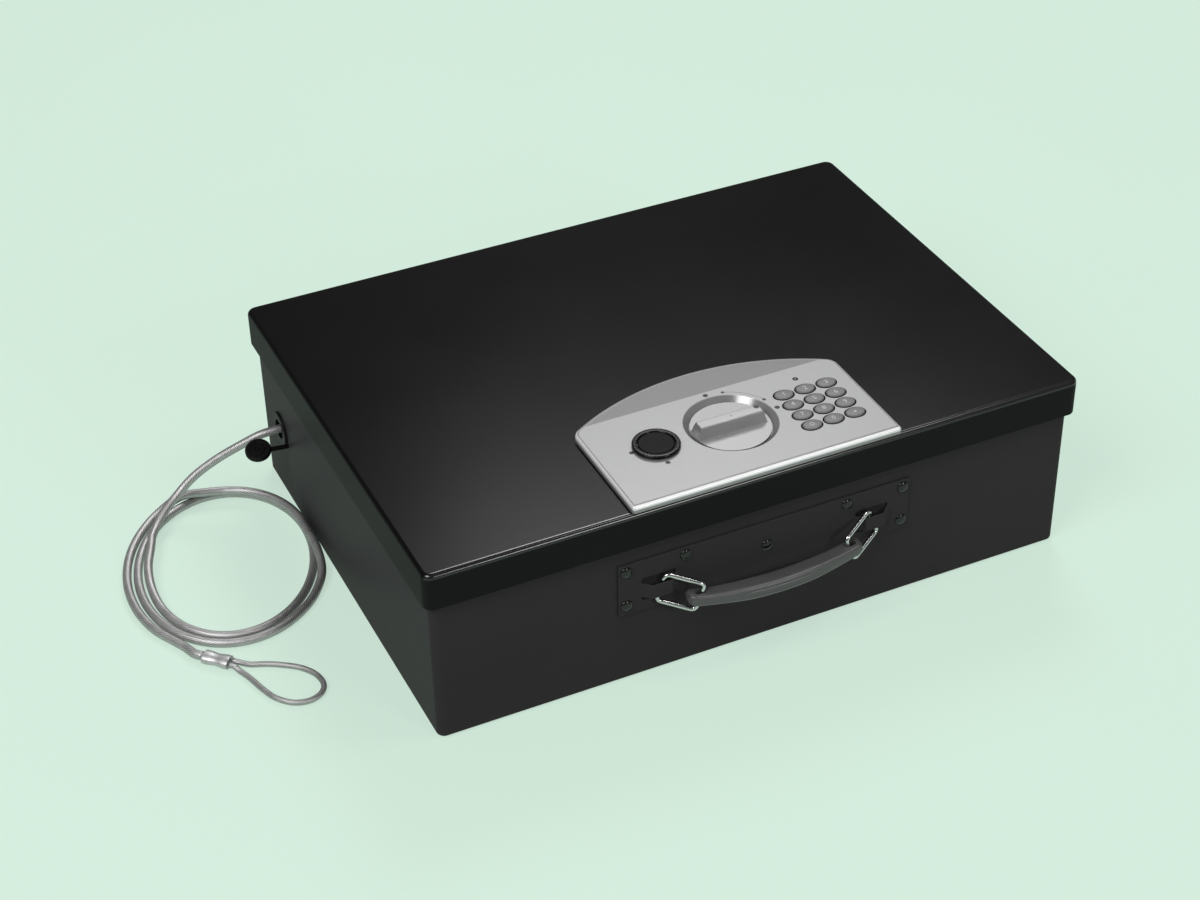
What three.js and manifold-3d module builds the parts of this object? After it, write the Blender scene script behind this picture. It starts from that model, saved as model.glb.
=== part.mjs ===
// Portable steel security box: a folded steel body, a lid on two rear hinges, a keypad panel whose
// dial throws a double bolt, a carrying handle on wire rings, and a steel tether cable.
// Millimetres, +Z up. The origin is the middle of the body's footprint, on the surface under it.
// +X runs to the right along the front, and -Y is the front.
import * as THREE from 'three';
import { mergeVertices } from 'three/addons/utils/BufferGeometryUtils.js';
import Module from 'manifold-3d';

const wasm = await Module();
wasm.setup();

// Folded sheet steel of the body and lid
const lidWidth = 368;
const lidDepth = 263;
const boxHeight = 106;
const sheet = 1.5;
const skirtDepth = 20.7;
const lidOverhang = 3.2;
const lidCorner = 5.5;
const lidEdge = 2.5;
const bodyCorner = 4.5;
const bodyEdge = 2;
const rimFlange = 8;

// Running clearance between pieces that slide, turn or seat in each other
const gap = 0.3;

// The panel, lock and handle share one centre line, a little right of the lid's
const fittingsX = 1;

// Keypad panel, a moulding on the lid's front edge with an arched back edge
const panelWidth = 151;
const panelSide = 69.5;
const panelRise = 22.7;
const panelHeight = 4;
const panelBevel = 2;
const panelCorner = 3;
const panelSetback = 0.5;
const panelSkin = 1.5;

// Dial and its spindle
const dialFromFront = 42.1;
const recessRadius = 24.6;
const recessDepth = 3.4;
const recessSlope = 3.2;
const knobRadius = 21;
const knobThickness = 0.9;
const knobEdge = 0.3;
const barWidth = 10.8;
const barTopWidth = 6;
const barEndRadius = 19;
const barEndInset = 2;
const barHeight = 6.4;
const spindleRadius = 4;
const camRadius = 8;
const camThickness = 2;
const camDrop = 1.1;
const crankRadius = 6;
const crankPinRadius = 1.5;
const crankRestAngle = 135;

// Key lock under its cap
const lockX = -42.8;
const lockFromFront = 41;
const lockRimRadius = 12.4;
const lockRimInner = 9.6;
const lockRimHeight = 2.4;
const capThickness = 1.9;
const barrelRadius = 8.5;
const barrelLength = 18;
const barrelNutRadius = 10;
const barrelNutThickness = 3;
const plugRadius = 5.5;
const plugTailLength = 13;
const plugTailWidth = 5;
const plugTailThickness = 2;
const keywayWidth = 1.2;
const keywayDepth = 3;

// Push keys, their circuit board and dome sheet
const keyColumns = 3;
const keyRows = 4;
const keyPitchX = 12.5;
const keyPitchY = 9.9;
const keyWidth = 10.8;
const keyDepth = 8.2;
const keyProud = 0.8;
const keyTravel = 0.5;
const keyStopGap = 0.1;
const keyFlange = 0.5;
const keyFlangeRim = 0.6;
const keyEdge = 0.4;
const keypadX = 48;
const keypadBackRow = 51.4;
const keypadMargin = 7;
const keypadBoard = 0.8;
const domeSheet = 0.4;
const lampFromFront = 61.7;
const lampRadius = 1.2;
const lampProud = 0.3;

// Sliding bolt under the lid, with two tongues that pass under the front rim
const boltDrop = 3.6;
const boltThickness = 3;
const boltHalf = 28;
const boltBack = 31.5;
const boltFront = 14.5;
const boltTongueInner = 10;
const boltTongueOuter = 24;
const boltTongueLength = 11;
const boltSlotSlack = 0.35;
const guideBack = 25.5;
const guideDepth = 7;
const guideWall = 2;
const guideLip = 3;
const guideThickness = 1.5;
const strikerHalf = 30;

// Solenoid that blocks the bolt
const solenoidLength = 20;
const solenoidWidth = 8;
const solenoidHeight = 8.5;
const solenoidReach = 12;
const solenoidBack = 13.5;
const plungerRadius = 1.8;
const notchWidth = 4.6;
const notchDepth = 4.3;

// Lock case, batteries and main board
const caseHalf = 72;
const caseFront = 25.5;
const caseBack = 56.5;
const caseDepth = 26.5;
const caseWall = 2;
const batteryRadius = 7.25;
const batteryLength = 49.5;
const batteryNubRadius = 2.7;
const batteryNubLength = 1;
const batteryRow = 15;
const batteryFirstRow = 29.5;
const batteryEndGap = 1;
const batteryWallHeight = 15.5;
const doorMargin = 2;
const boardWidth = 36;
const boardLength = 35;
const boardThickness = 1.6;
const boardX = 47;
const boardY = -3;
const boardRise = 9.7;

// Rear hinges
const hingeFromEnd = 79;
const hingeWidth = 50;
const hingeBarrel = 3;
const hingePin = 1.5;
const hingeBelowSkirt = 3.5;
const hingeLeaf = 1.2;
const lidLeafHeight = 19;
const bodyLeafBottom = 26;
const middleKnuckle = 18;
const pinHeadRadius = 2.5;
const pinHeadLength = 1;

// Carrying handle
const ringHeight = 56;
const plateHalf = 83.3;
const plateBottom = 43;
const plateTop = 74.5;
const plateThickness = 1.2;
const strapX = 61;
const strapRaise = 4.5;
const strapHalfHeight = 4;
const strapFlat = 5.5;
const strapFoot = 10.5;
const slitHeight = 3;
const ringWire = 1.25;
const ringWidth = 15.5;
const ringReach = 21;
const ringOut = 8.4;
const ringDroop = 21.5;
const ringCorner = 3;
const ringSplit = 0.6;
const gripBeyondEye = 5.9;
const gripEyeSlot = 1.4;
const gripMidHalfY = 5;
const gripMidHalfZ = 4.4;
const gripEndHalfY = 4.6;
const gripEndHalfZ = 3.5;
const gripTongue = 9;
const gripShoulder = 26;
const gripTip = 1;
const gripBowOut = 4.2;
const gripBowDown = 1.9;
const rivetSpots = [[-79, 70], [-79, 49], [-46, 70], [0, 60], [46, 70], [79, 70], [79, 49]];
const rivetHead = 3.3;
const rivetHeadHeight = 1.5;
const rivetShank = 1.6;
const rivetTail = 2.6;
const rivetTailHeight = 0.8;

// Cable port in the left wall
const portY = 96.5;
const portHeight = 46;
const portRadius = 8;
const grommetLip = 10;
const grommetBore = 5.6;
const grommetLipThickness = 1.5;
const stopRadius = 11;
const stopThickness = 2;
const stopSleeve = 3.5;
const stopSleeveLength = 12;
const hatchCapRadius = 7.2;
const hatchCapThickness = 3.2;
const hatchCapReach = 17.2;
const hatchCapY = 86.7;
const hatchCapHeight = 43;
const hatchCapLean = 18;
const hatchCapTurn = -8;
const strapTabWidth = 2.2;
const strapTabHeight = 1.6;

// Tether cable
const cableRadius = 2.4;
const cableSides = 8;
const wireSides = 8;
const coilX = -231.5;
const coilY = 49.3;
const coilLong = 59.2;
const coilShort = 42.7;
const coilTilt = 74.3;
const coilStart = 150;
const coilTurns = 2.2;
const coilPitch = 5.9;
const coilStack = 5.3;
const coilRollOver = 100;
const coilRollIn = 25;
const coilRollFrom = 1.46;
const coilRollUp = 1.58;
const coilRollTop = 1.76;
const coilRollBack = 1.8;
const coilRollDown = 1.93;
const coilEntryHeight = 4.5;
const coilEntryTurns = 0.15;
const coilStepsPerTurn = 24;
const coilSides = 8;
const coilStraight = 5;
const ferruleLength = 15;
const ferruleWidth = 9;
const ferruleHeight = 6;
const ferruleEdge = 1;
const ferruleFlat = 0.1;
const eyeWire = 1.5;
const floorLift = 0.1;

// Round shapes are drawn with these numbers of sides
const fineSides = 36;
const roundSides = 24;
const smallSides = 12;
const rivetSides = 8;

// Places worked out from the sizes above
const lidHalfX = lidWidth / 2;
const lidHalfY = lidDepth / 2;
const bodyHalfX = lidHalfX - lidOverhang;
const bodyHalfY = lidHalfY - lidOverhang;
const skirtBottom = boxHeight - skirtDepth;
const lidUnder = boxHeight - sheet;
const rimTop = lidUnder - gap;
const panelFront = -lidHalfY + panelSetback;
const dialY = panelFront + dialFromFront;
const recessFloor = panelHeight - recessDepth;
const knobBottom = recessFloor + gap;
const cutPast = 1;

// Surface looks, from the photograph
const blackPaint = { color: 0x2b2c2e, roughness: 0.55, metalness: 0.1 };
const satinSilver = { color: 0xbdbfc1, roughness: 0.4, metalness: 0.5 };
const blackPlastic = { color: 0x1c1c1d, roughness: 0.45, metalness: 0 };
const greyKey = { color: 0x96989b, roughness: 0.5, metalness: 0.1 };
const gripBlack = { color: 0x343537, roughness: 0.5, metalness: 0 };
const chromeWire = { color: 0xe2e4e6, roughness: 0.15, metalness: 1 };
const platedSteel = { color: 0xb4b6b8, roughness: 0.35, metalness: 1 };
const cableSteel = { color: 0xb5b6b7, roughness: 0.45, metalness: 0.6 };
const aluminium = { color: 0xc9cbcd, roughness: 0.35, metalness: 0.9 };
const blackRubber = { color: 0x1a1a1b, roughness: 0.75, metalness: 0 };
const brass = { color: 0xb79a55, roughness: 0.35, metalness: 1 };
const boardGreen = { color: 0x2c6b45, roughness: 0.5, metalness: 0 };
const domeWhite = { color: 0xd9d9d4, roughness: 0.6, metalness: 0 };
const batteryCase = { color: 0x8d7a4e, roughness: 0.4, metalness: 0.3 };

// Closed mesh to solid: shared corners are merged and faces are made to point outwards
function solid(geometry) {
  const bare = geometry.index ? geometry.toNonIndexed() : geometry.clone();
  bare.deleteAttribute('normal');
  bare.deleteAttribute('uv');
  const merged = mergeVertices(bare, 1e-4);
  const at = merged.attributes.position;
  const corners = merged.index.array;
  const triangles = [];
  let volume = 0;
  const p = [new THREE.Vector3(), new THREE.Vector3(), new THREE.Vector3()];
  for (let i = 0; i < corners.length; i += 3) {
    const [a, b, c] = [corners[i], corners[i + 1], corners[i + 2]];
    if (a === b || b === c || c === a) continue;
    triangles.push([a, b, c]);
    p[0].fromBufferAttribute(at, a);
    p[1].fromBufferAttribute(at, b);
    p[2].fromBufferAttribute(at, c);
    volume += p[0].dot(p[1].cross(p[2]));
  }
  const faces = volume < 0 ? triangles.map(([a, b, c]) => [a, c, b]) : triangles;
  return new wasm.Manifold(new wasm.Mesh({
    numProp: 3,
    vertProperties: new Float32Array(at.array),
    triVerts: new Uint32Array(faces.flat()),
  }));
}

function joined(...solids) {
  return solids.reduce((whole, next) => whole.add(next));
}

function block(x0, x1, y0, y1, z0, z1) {
  const geometry = new THREE.BoxGeometry(x1 - x0, y1 - y0, z1 - z0);
  geometry.translate((x0 + x1) / 2, (y0 + y1) / 2, (z0 + z1) / 2);
  return solid(geometry);
}

// Upright disc or cone on a point, from one height to another
function disc(x, y, radius, z0, z1, sides = roundSides, topRadius = radius) {
  const geometry = new THREE.CylinderGeometry(topRadius, radius, z1 - z0, sides);
  geometry.rotateX(Math.PI / 2);
  geometry.translate(x, y, (z0 + z1) / 2);
  return solid(geometry);
}

// Level rod along X
function rod(x0, x1, y, z, radius, sides = smallSides) {
  const geometry = new THREE.CylinderGeometry(radius, radius, x1 - x0, sides);
  geometry.rotateZ(Math.PI / 2);
  geometry.translate((x0 + x1) / 2, y, z);
  return solid(geometry);
}

// Outline pushed up along Z, with square ends. Each arc of it gets twice the segments given here
function prism(shape, z0, z1, curveSegments = 2) {
  const geometry = new THREE.ExtrudeGeometry(shape, { depth: z1 - z0, bevelEnabled: false, curveSegments });
  geometry.translate(0, 0, z0);
  return solid(geometry);
}

// Outline pushed up along Z, with its two rims rounded by the edge radius
function softPrism(shape, z0, z1, edge, curveSegments = 2, bevelSegments = 2) {
  const geometry = new THREE.ExtrudeGeometry(shape, {
    depth: z1 - z0 - 2 * edge,
    bevelThickness: edge,
    bevelSize: edge,
    bevelOffset: -edge,
    bevelSegments,
    curveSegments,
  });
  geometry.translate(0, 0, z0 + edge);
  return solid(geometry);
}

// Outline in Y and Z pushed along X
function alongX(shape, x0, x1) {
  const geometry = new THREE.ExtrudeGeometry(shape, { depth: x1 - x0, bevelEnabled: false });
  geometry.translate(0, 0, x0);
  const turn = new THREE.Matrix4().makeBasis(
    new THREE.Vector3(0, 1, 0), new THREE.Vector3(0, 0, 1), new THREE.Vector3(1, 0, 0));
  return solid(geometry.applyMatrix4(turn));
}

function polygon(points) {
  return new THREE.Shape(points.map(([x, y]) => new THREE.Vector2(x, y)));
}

function roundedRect(halfX, halfY, radius, x = 0, y = 0) {
  const shape = new THREE.Shape();
  const [innerX, innerY] = [halfX - radius, halfY - radius];
  shape.absarc(x + innerX, y + innerY, radius, 0, Math.PI / 2);
  shape.absarc(x - innerX, y + innerY, radius, Math.PI / 2, Math.PI);
  shape.absarc(x - innerX, y - innerY, radius, Math.PI, Math.PI * 1.5);
  shape.absarc(x + innerX, y - innerY, radius, Math.PI * 1.5, Math.PI * 2);
  return shape;
}

function oval(halfX, halfY, x = 0, y = 0) {
  return new THREE.Shape().absellipse(x, y, halfX, halfY, 0, Math.PI * 2);
}

// Turned shape about Z from a profile of radius and height pairs
function turned(profile, sides = roundSides) {
  const geometry = new THREE.LatheGeometry(profile.map(([r, h]) => new THREE.Vector2(r, h)), sides);
  return geometry.rotateX(Math.PI / 2);
}

// Rings of points, each with the same count, skinned from first to last and closed at both ends
function loft(rings) {
  const count = rings[0].length;
  const middle = (ring) => ring.reduce((sum, q) => sum.add(q), new THREE.Vector3()).divideScalar(count);
  const points = [...rings.flat(), middle(rings[0]), middle(rings.at(-1))];
  const [firstEnd, lastEnd] = [points.length - 2, points.length - 1];
  const index = [];
  for (let i = 0; i < count; i++) {
    const next = (i + 1) % count;
    for (let ring = 0; ring < rings.length - 1; ring++) {
      const [low, high] = [ring * count, (ring + 1) * count];
      index.push(low + i, low + next, high + next, low + i, high + next, high + i);
    }
    const last = (rings.length - 1) * count;
    index.push(firstEnd, next, i, lastEnd, last + i, last + next);
  }
  const geometry = new THREE.BufferGeometry().setFromPoints(points);
  geometry.setIndex(index);
  return solid(geometry);
}

// Round bar or cable of one radius along a path
function tube(path, radius, sides, steps) {
  const shape = new THREE.Shape().absarc(0, 0, radius, 0, Math.PI * 2);
  return solid(new THREE.ExtrudeGeometry(shape, { extrudePath: path, steps, curveSegments: sides / 2 }));
}

function smoothPath(points) {
  return new THREE.CatmullRomCurve3(points.map((q) => new THREE.Vector3(...q)), false, 'centripetal');
}

// Named mesh with its own material, added to a group
function piece(group, name, shape, look) {
  const cut = shape.getMesh();
  const geometry = new THREE.BufferGeometry();
  geometry.setAttribute('position', new THREE.BufferAttribute(cut.vertProperties, 3));
  geometry.setIndex(new THREE.BufferAttribute(cut.triVerts, 1));
  geometry.computeVertexNormals();
  const mesh = new THREE.Mesh(geometry, new THREE.MeshStandardMaterial(look));
  mesh.name = name;
  group.add(mesh);
  return mesh;
}

function groupAt(parent, x, y, z) {
  const group = new THREE.Group();
  group.position.set(x, y, z);
  parent.add(group);
  return group;
}

const safe = new THREE.Group();
const lid = groupAt(safe, 0, 0, 0);
const panel = groupAt(lid, fittingsX, panelFront, boxHeight);
const lock = groupAt(lid, fittingsX, dialY, lidUnder);
const handle = groupAt(safe, fittingsX, -bodyHalfY, 0);

// Body: a folded pan with holes for the cable port and the handle's rivets. A flat frame is welded
// round its rim, and the bolt's tongues pass under the frame's thick front
function makeBody() {
  const inside = [bodyHalfX - sheet, bodyHalfY - sheet];
  const insideWalls = roundedRect(...inside, bodyCorner - sheet);
  let shell = softPrism(roundedRect(bodyHalfX, bodyHalfY, bodyCorner), 0, rimTop + bodyEdge * 2, bodyEdge)
    .subtract(block(-lidWidth, lidWidth, -lidDepth, lidDepth, rimTop, boxHeight * 2))
    .subtract(prism(insideWalls, sheet, boxHeight))
    .subtract(rod(-bodyHalfX - cutPast, -bodyHalfX + sheet + cutPast, portY, portHeight, portRadius,
      roundSides));
  for (const [x, z] of rivetSpots) {
    shell = shell.subtract(rivetHole(fittingsX + x, z, -bodyHalfY + sheet + cutPast));
  }
  piece(safe, 'body_shell', shell, blackPaint);
  const frameUnder = rimTop - sheet;
  const frame = prism(insideWalls, frameUnder, rimTop)
    .subtract(prism(roundedRect(inside[0] - rimFlange, inside[1] - rimFlange, bodyCorner), sheet, boxHeight))
    .add(block(fittingsX - strikerHalf, fittingsX + strikerHalf, -inside[1], -inside[1] + rimFlange,
      frameUnder - sheet, frameUnder));
  piece(safe, 'rim_frame', frame, blackPaint);
}

// Hole along Y, in the front wall and the handle's plate, for one rivet's shank
function rivetHole(x, z, toY) {
  const depth = strapRaise + plateThickness + sheet + cutPast;
  const geometry = new THREE.CylinderGeometry(rivetShank + gap, rivetShank + gap, depth, rivetSides);
  geometry.translate(x, toY - depth / 2, z);
  return solid(geometry);
}

// Lid: a pressed pan with a deep skirt that drops over the body
function makeLid() {
  const outline = roundedRect(lidHalfX, lidHalfY, lidCorner);
  const inside = roundedRect(lidHalfX - sheet, lidHalfY - sheet, lidCorner - sheet);
  const lockHole = disc(fittingsX + lockX, panelFront + lockFromFront, barrelRadius + gap, 0, boxHeight * 2);
  const shell = softPrism(outline, skirtBottom - lidEdge * 2, boxHeight, lidEdge)
    .subtract(block(-lidWidth, lidWidth, -lidDepth, lidDepth, 0, skirtBottom))
    .subtract(prism(inside, 0, lidUnder))
    .subtract(disc(fittingsX, dialY, spindleRadius + gap, 0, boxHeight * 2))
    .subtract(lockHole);
  piece(lid, 'lid_shell', shell, blackPaint);
}

// Panel's outline: straight front and sides, an arched back, and softened back corners
function panelOutline() {
  const half = panelWidth / 2;
  const radius = (half * half + panelRise * panelRise) / (2 * panelRise);
  const arcCentre = panelSide + panelRise - radius;
  const cornerTurn = Math.acos(half / radius) + panelCorner / radius;
  const shape = new THREE.Shape();
  shape.absarc(-half + panelCorner, panelCorner, panelCorner, Math.PI, Math.PI * 1.5);
  shape.absarc(half - panelCorner, panelCorner, panelCorner, Math.PI * 1.5, Math.PI * 2);
  shape.lineTo(half, panelSide - panelCorner);
  const arcStart = [radius * Math.cos(cornerTurn), arcCentre + radius * Math.sin(cornerTurn)];
  shape.quadraticCurveTo(half, panelSide, ...arcStart);
  shape.absarc(0, arcCentre, radius, cornerTurn, Math.PI - cornerTurn);
  shape.quadraticCurveTo(-half, panelSide, -half, panelSide - panelCorner);
  return shape;
}

function keySpots() {
  const spots = [];
  for (let row = 0; row < keyRows; row++) {
    for (let column = 0; column < keyColumns; column++) {
      const x = keypadX + (column - (keyColumns - 1) / 2) * keyPitchX;
      spots.push([x, keypadBackRow - row * keyPitchY]);
    }
  }
  return spots;
}

// Pocket under the panel's skin that holds the keypad's layers
function keypadSpace(inset, z0, z1) {
  const halfX = ((keyColumns - 1) * keyPitchX + keyWidth) / 2 + keypadMargin - inset;
  const low = keypadBackRow - (keyRows - 1) * keyPitchY - keyDepth / 2 - keypadMargin / 2 + inset;
  const high = lampFromFront + keypadMargin / 2 - inset;
  return block(keypadX - halfX, keypadX + halfX, low, high, z0, z1);
}

function makePanel() {
  const skinUnder = panelHeight - panelSkin;
  let bezel = softPrism(panelOutline(), -panelBevel * 2, panelHeight, panelBevel, 5)
    .subtract(block(-lidWidth, lidWidth, -lidDepth, lidDepth, -boxHeight, 0))
    .subtract(disc(0, dialFromFront, recessRadius - recessSlope, recessFloor, panelHeight, fineSides,
      recessRadius))
    .subtract(disc(0, dialFromFront, spindleRadius + gap, -cutPast, panelHeight))
    .subtract(disc(lockX, lockFromFront, barrelRadius + gap, -cutPast, panelHeight + cutPast))
    .subtract(keypadSpace(0, -cutPast, skinUnder))
    .subtract(disc(keypadX, lampFromFront, lampRadius + gap, 0, panelHeight + cutPast, smallSides));
  for (const [x, y] of keySpots()) {
    bezel = bezel.subtract(prism(oval(keyWidth / 2 + gap, keyDepth / 2 + gap, x, y),
      skinUnder - cutPast, panelHeight + cutPast, smallSides / 2));
  }
  piece(panel, 'panel_bezel', bezel, satinSilver);
}

function makeKeypad() {
  const domeTop = keypadBoard + domeSheet;
  const lampHole = disc(keypadX, lampFromFront, lampRadius + gap, 0, panelHeight, smallSides);
  piece(panel, 'keypad_board', keypadSpace(gap, 0, keypadBoard), boardGreen);
  piece(panel, 'dome_sheet', keypadSpace(gap, keypadBoard, domeTop).subtract(lampHole), domeWhite);
  piece(panel, 'status_lamp', disc(keypadX, lampFromFront, lampRadius, keypadBoard, panelHeight + lampProud,
    smallSides), blackPlastic);
  const flangeLow = domeTop + keyTravel + keyStopGap;
  const face = oval(keyWidth / 2, keyDepth / 2);
  const body = softPrism(face, flangeLow - keyEdge, panelHeight + keyProud, keyEdge, smallSides / 2, 1)
    .subtract(block(-keyWidth, keyWidth, -keyDepth, keyDepth, -panelHeight, flangeLow));
  const flange = prism(oval(keyWidth / 2 + keyFlangeRim, keyDepth / 2 + keyFlangeRim), flangeLow,
    flangeLow + keyFlange, smallSides / 2);
  keySpots().forEach(([x, y], i) => {
    piece(panel, `key_${i + 1}`, joined(body, flange), greyKey).position.set(x, y, 0);
  });
}

// Dial: a flat knob with a tapered finger bar across it
function makeDial() {
  const barBase = knobBottom + knobThickness;
  const barTop = barBase + barHeight;
  const slopes = alongX(polygon([
    [-barWidth / 2, barBase - knobEdge], [barWidth / 2, barBase - knobEdge], [barWidth / 2, barBase],
    [barTopWidth / 2, barTop], [-barTopWidth / 2, barTop], [-barWidth / 2, barBase],
  ]), -knobRadius, knobRadius);
  const ends = disc(0, 0, barEndRadius, barBase - knobEdge, barTop, fineSides, barEndRadius - barEndInset);
  const bar = slopes.intersect(ends);
  const plate = softPrism(oval(knobRadius, knobRadius), knobBottom, barBase, knobEdge, fineSides / 2, 1);
  piece(panel, 'dial_knob', joined(plate, bar), satinSilver).position.set(0, dialFromFront, 0);
  const pinAngle = THREE.MathUtils.degToRad(crankRestAngle);
  const pin = disc(crankRadius * Math.cos(pinAngle), crankRadius * Math.sin(pinAngle), crankPinRadius,
    -boltDrop - boltThickness + gap, -camDrop, smallSides);
  piece(lock, 'dial_spindle', joined(
    disc(0, 0, spindleRadius, -camDrop - camThickness, sheet + knobBottom),
    disc(0, 0, camRadius, -camDrop - camThickness, -camDrop),
    pin), platedSteel);
}

// Key lock: a barrel through panel and lid, its plug and tail, a rim ring and a lift-off cap
function makeKeyLock() {
  const group = groupAt(panel, lockX, lockFromFront, 0);
  const top = panelHeight - gap;
  const barrel = joined(
    disc(0, 0, barrelRadius, -barrelLength, top),
    disc(0, 0, barrelNutRadius, -sheet - barrelNutThickness, -sheet, 6),
  ).subtract(disc(0, 0, plugRadius + gap, -barrelLength - cutPast, top + cutPast));
  piece(group, 'lock_barrel', barrel, platedSteel);
  const tailTop = -barrelLength - gap;
  const plug = joined(
    disc(0, 0, plugRadius, tailTop, top),
    block(-plugTailWidth / 2, plugTailLength, -plugTailWidth / 2, plugTailWidth / 2,
      tailTop - plugTailThickness, tailTop),
  ).subtract(block(-plugRadius + cutPast, plugRadius - cutPast, -keywayWidth / 2, keywayWidth / 2,
    top - keywayDepth, top + cutPast));
  piece(group, 'lock_plug', plug, brass);
  const round = lockRimHeight / 3;
  const rimTop = panelHeight + lockRimHeight;
  piece(group, 'lock_rim', solid(turned([
    [lockRimInner, panelHeight], [lockRimRadius, panelHeight], [lockRimRadius, rimTop - round],
    [lockRimRadius - round / 3, rimTop - round / 3], [lockRimRadius - round, rimTop],
    [lockRimInner + round / 2, rimTop], [lockRimInner, rimTop - round / 2], [lockRimInner, panelHeight],
  ], fineSides)), blackPlastic);
  piece(group, 'key_cap', softPrism(oval(lockRimInner - gap, lockRimInner - gap), panelHeight,
    panelHeight + capThickness, gap, roundSides / 2, 1), blackPlastic);
}

// Bolt plate with two tongues, a cross slot for the crank pin and two notches for the plunger
function boltTravel() {
  return -2 * crankRadius * Math.cos(THREE.MathUtils.degToRad(crankRestAngle));
}

function makeBolt() {
  const [low, high] = [-boltDrop - boltThickness, -boltDrop];
  const pinY = crankRadius * Math.sin(THREE.MathUtils.degToRad(crankRestAngle));
  const pinX = crankRadius * Math.cos(THREE.MathUtils.degToRad(crankRestAngle));
  const slotHalf = crankPinRadius + boltSlotSlack;
  let bolt = block(-boltHalf, boltHalf, -boltFront, boltBack, low, high)
    .subtract(block(-crankRadius - slotHalf, pinX + slotHalf, pinY - slotHalf, pinY + slotHalf,
      low - cutPast, high + cutPast));
  for (const side of [-1, 1]) {
    const edges = [side * boltTongueInner, side * boltTongueOuter].sort((a, b) => a - b);
    bolt = bolt.add(block(...edges, -boltFront - boltTongueLength, -boltFront + cutPast, low, high));
  }
  for (const y of [solenoidBack, solenoidBack + boltTravel()]) {
    bolt = bolt.subtract(block(-boltHalf - cutPast, -boltHalf + notchDepth, y - notchWidth / 2,
      y + notchWidth / 2, low - cutPast, high + cutPast));
  }
  piece(lock, 'latch_bolt', bolt, platedSteel);
  const inner = boltHalf + gap;
  const guide = joined(
    block(-inner - guideWall, inner + guideWall, 0, guideDepth, -boltDrop + 2 * gap + camDrop, 0),
    ...[-1, 1].map((side) => {
      const [from, to] = [side * inner, side * (inner + guideWall)].sort((a, b) => a - b);
      const [lipFrom, lipTo] = [side * (inner - guideLip), side * (inner + guideWall)].sort((a, b) => a - b);
      return joined(
        block(from, to, 0, guideDepth, low - gap - guideThickness, 0),
        block(lipFrom, lipTo, 0, guideDepth, low - gap - guideThickness, low - gap));
    }));
  piece(lock, 'bolt_guide', guide, platedSteel).position.set(0, guideBack - guideDepth, 0);
}

// Solenoid on the lid's underside, whose plunger enters a notch in the bolt's left edge
function makeSolenoid() {
  const right = -boltHalf - solenoidReach;
  const axisZ = -boltDrop - boltThickness / 2;
  const bore = rod(right - solenoidLength * 0.75, right + cutPast, solenoidBack, axisZ, plungerRadius + gap);
  const body = block(right - solenoidLength, right, solenoidBack - solenoidWidth / 2,
    solenoidBack + solenoidWidth / 2, -solenoidHeight, 0).subtract(bore);
  piece(lock, 'solenoid_body', body, platedSteel);
  piece(lock, 'solenoid_plunger', rod(right - solenoidLength / 2, -boltHalf - gap, solenoidBack, axisZ,
    plungerRadius), platedSteel);
}

// Lock case: an open tray under the lid, with the battery bay at the back and the board at the right
function makeCase() {
  const floor = -caseDepth + caseWall;
  const [front, back] = [-caseFront, caseBack];
  const bayFront = batteryFirstRow - batteryRadius - gap;
  const bayBack = batteryFirstRow + batteryRow + batteryRadius + gap;
  const bayHalf = batteryLength + batteryNubLength + batteryEndGap + doorMargin;
  const door = [-bayHalf, bayHalf, bayFront - doorMargin / 4, bayBack + doorMargin / 4];
  const boltLow = -boltDrop - boltThickness;
  const inner = caseHalf - caseWall;
  let tray = block(-caseHalf, caseHalf, front, back, -caseDepth, 0)
    .subtract(block(-inner, inner, front + caseWall, back - caseWall, floor, cutPast))
    .subtract(block(...door, -caseDepth - cutPast, floor + cutPast));
  for (const side of [-1, 1]) {
    const edges = [side * (boltTongueInner - gap), side * (boltTongueOuter + gap)].sort((a, b) => a - b);
    tray = tray.subtract(block(...edges, front - cutPast, front + caseWall + cutPast, boltLow - gap,
      -boltDrop + gap));
  }
  const wallFront = door[2] - caseWall;
  const wallHalf = caseHalf - caseWall / 2;
  tray = tray.add(block(-wallHalf, wallHalf, wallFront, door[2], floor - caseWall / 2,
    floor + batteryWallHeight));
  for (const side of [-1, 1]) {
    const ribX = boardX + side * (boardWidth / 2 - caseWall * 1.5);
    tray = tray.add(block(ribX - caseWall / 2, ribX + caseWall / 2, boardY - boardLength / 2 + caseWall,
      boardY + boardLength / 2 - caseWall, floor - caseWall / 2, floor + boardRise));
  }
  piece(lock, 'lock_case', tray, blackPlastic);
  piece(lock, 'battery_door', block(door[0] + gap, door[1] - gap, door[2] + gap, door[3] - gap, -caseDepth,
    floor), blackPlastic);
  piece(lock, 'circuit_board', block(boardX - boardWidth / 2, boardX + boardWidth / 2,
    boardY - boardLength / 2, boardY + boardLength / 2, floor + boardRise,
    floor + boardRise + boardThickness), boardGreen);
  const cell = solid(turned([
    [0, 0], [batteryRadius, 0], [batteryRadius, batteryLength], [batteryNubRadius, batteryLength],
    [batteryNubRadius, batteryLength + batteryNubLength], [0, batteryLength + batteryNubLength],
  ], smallSides + 4).rotateY(Math.PI / 2));
  for (let i = 0; i < 4; i++) {
    const facing = i % 2 === 0 ? 1 : -1;
    const mesh = piece(lock, `battery_${i + 1}`, cell, batteryCase);
    mesh.position.set(facing * batteryEndGap, batteryFirstRow + (i < 2 ? 0 : batteryRow),
      floor + gap + batteryRadius);
    mesh.rotation.z = facing > 0 ? 0 : Math.PI;
  }
}

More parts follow.
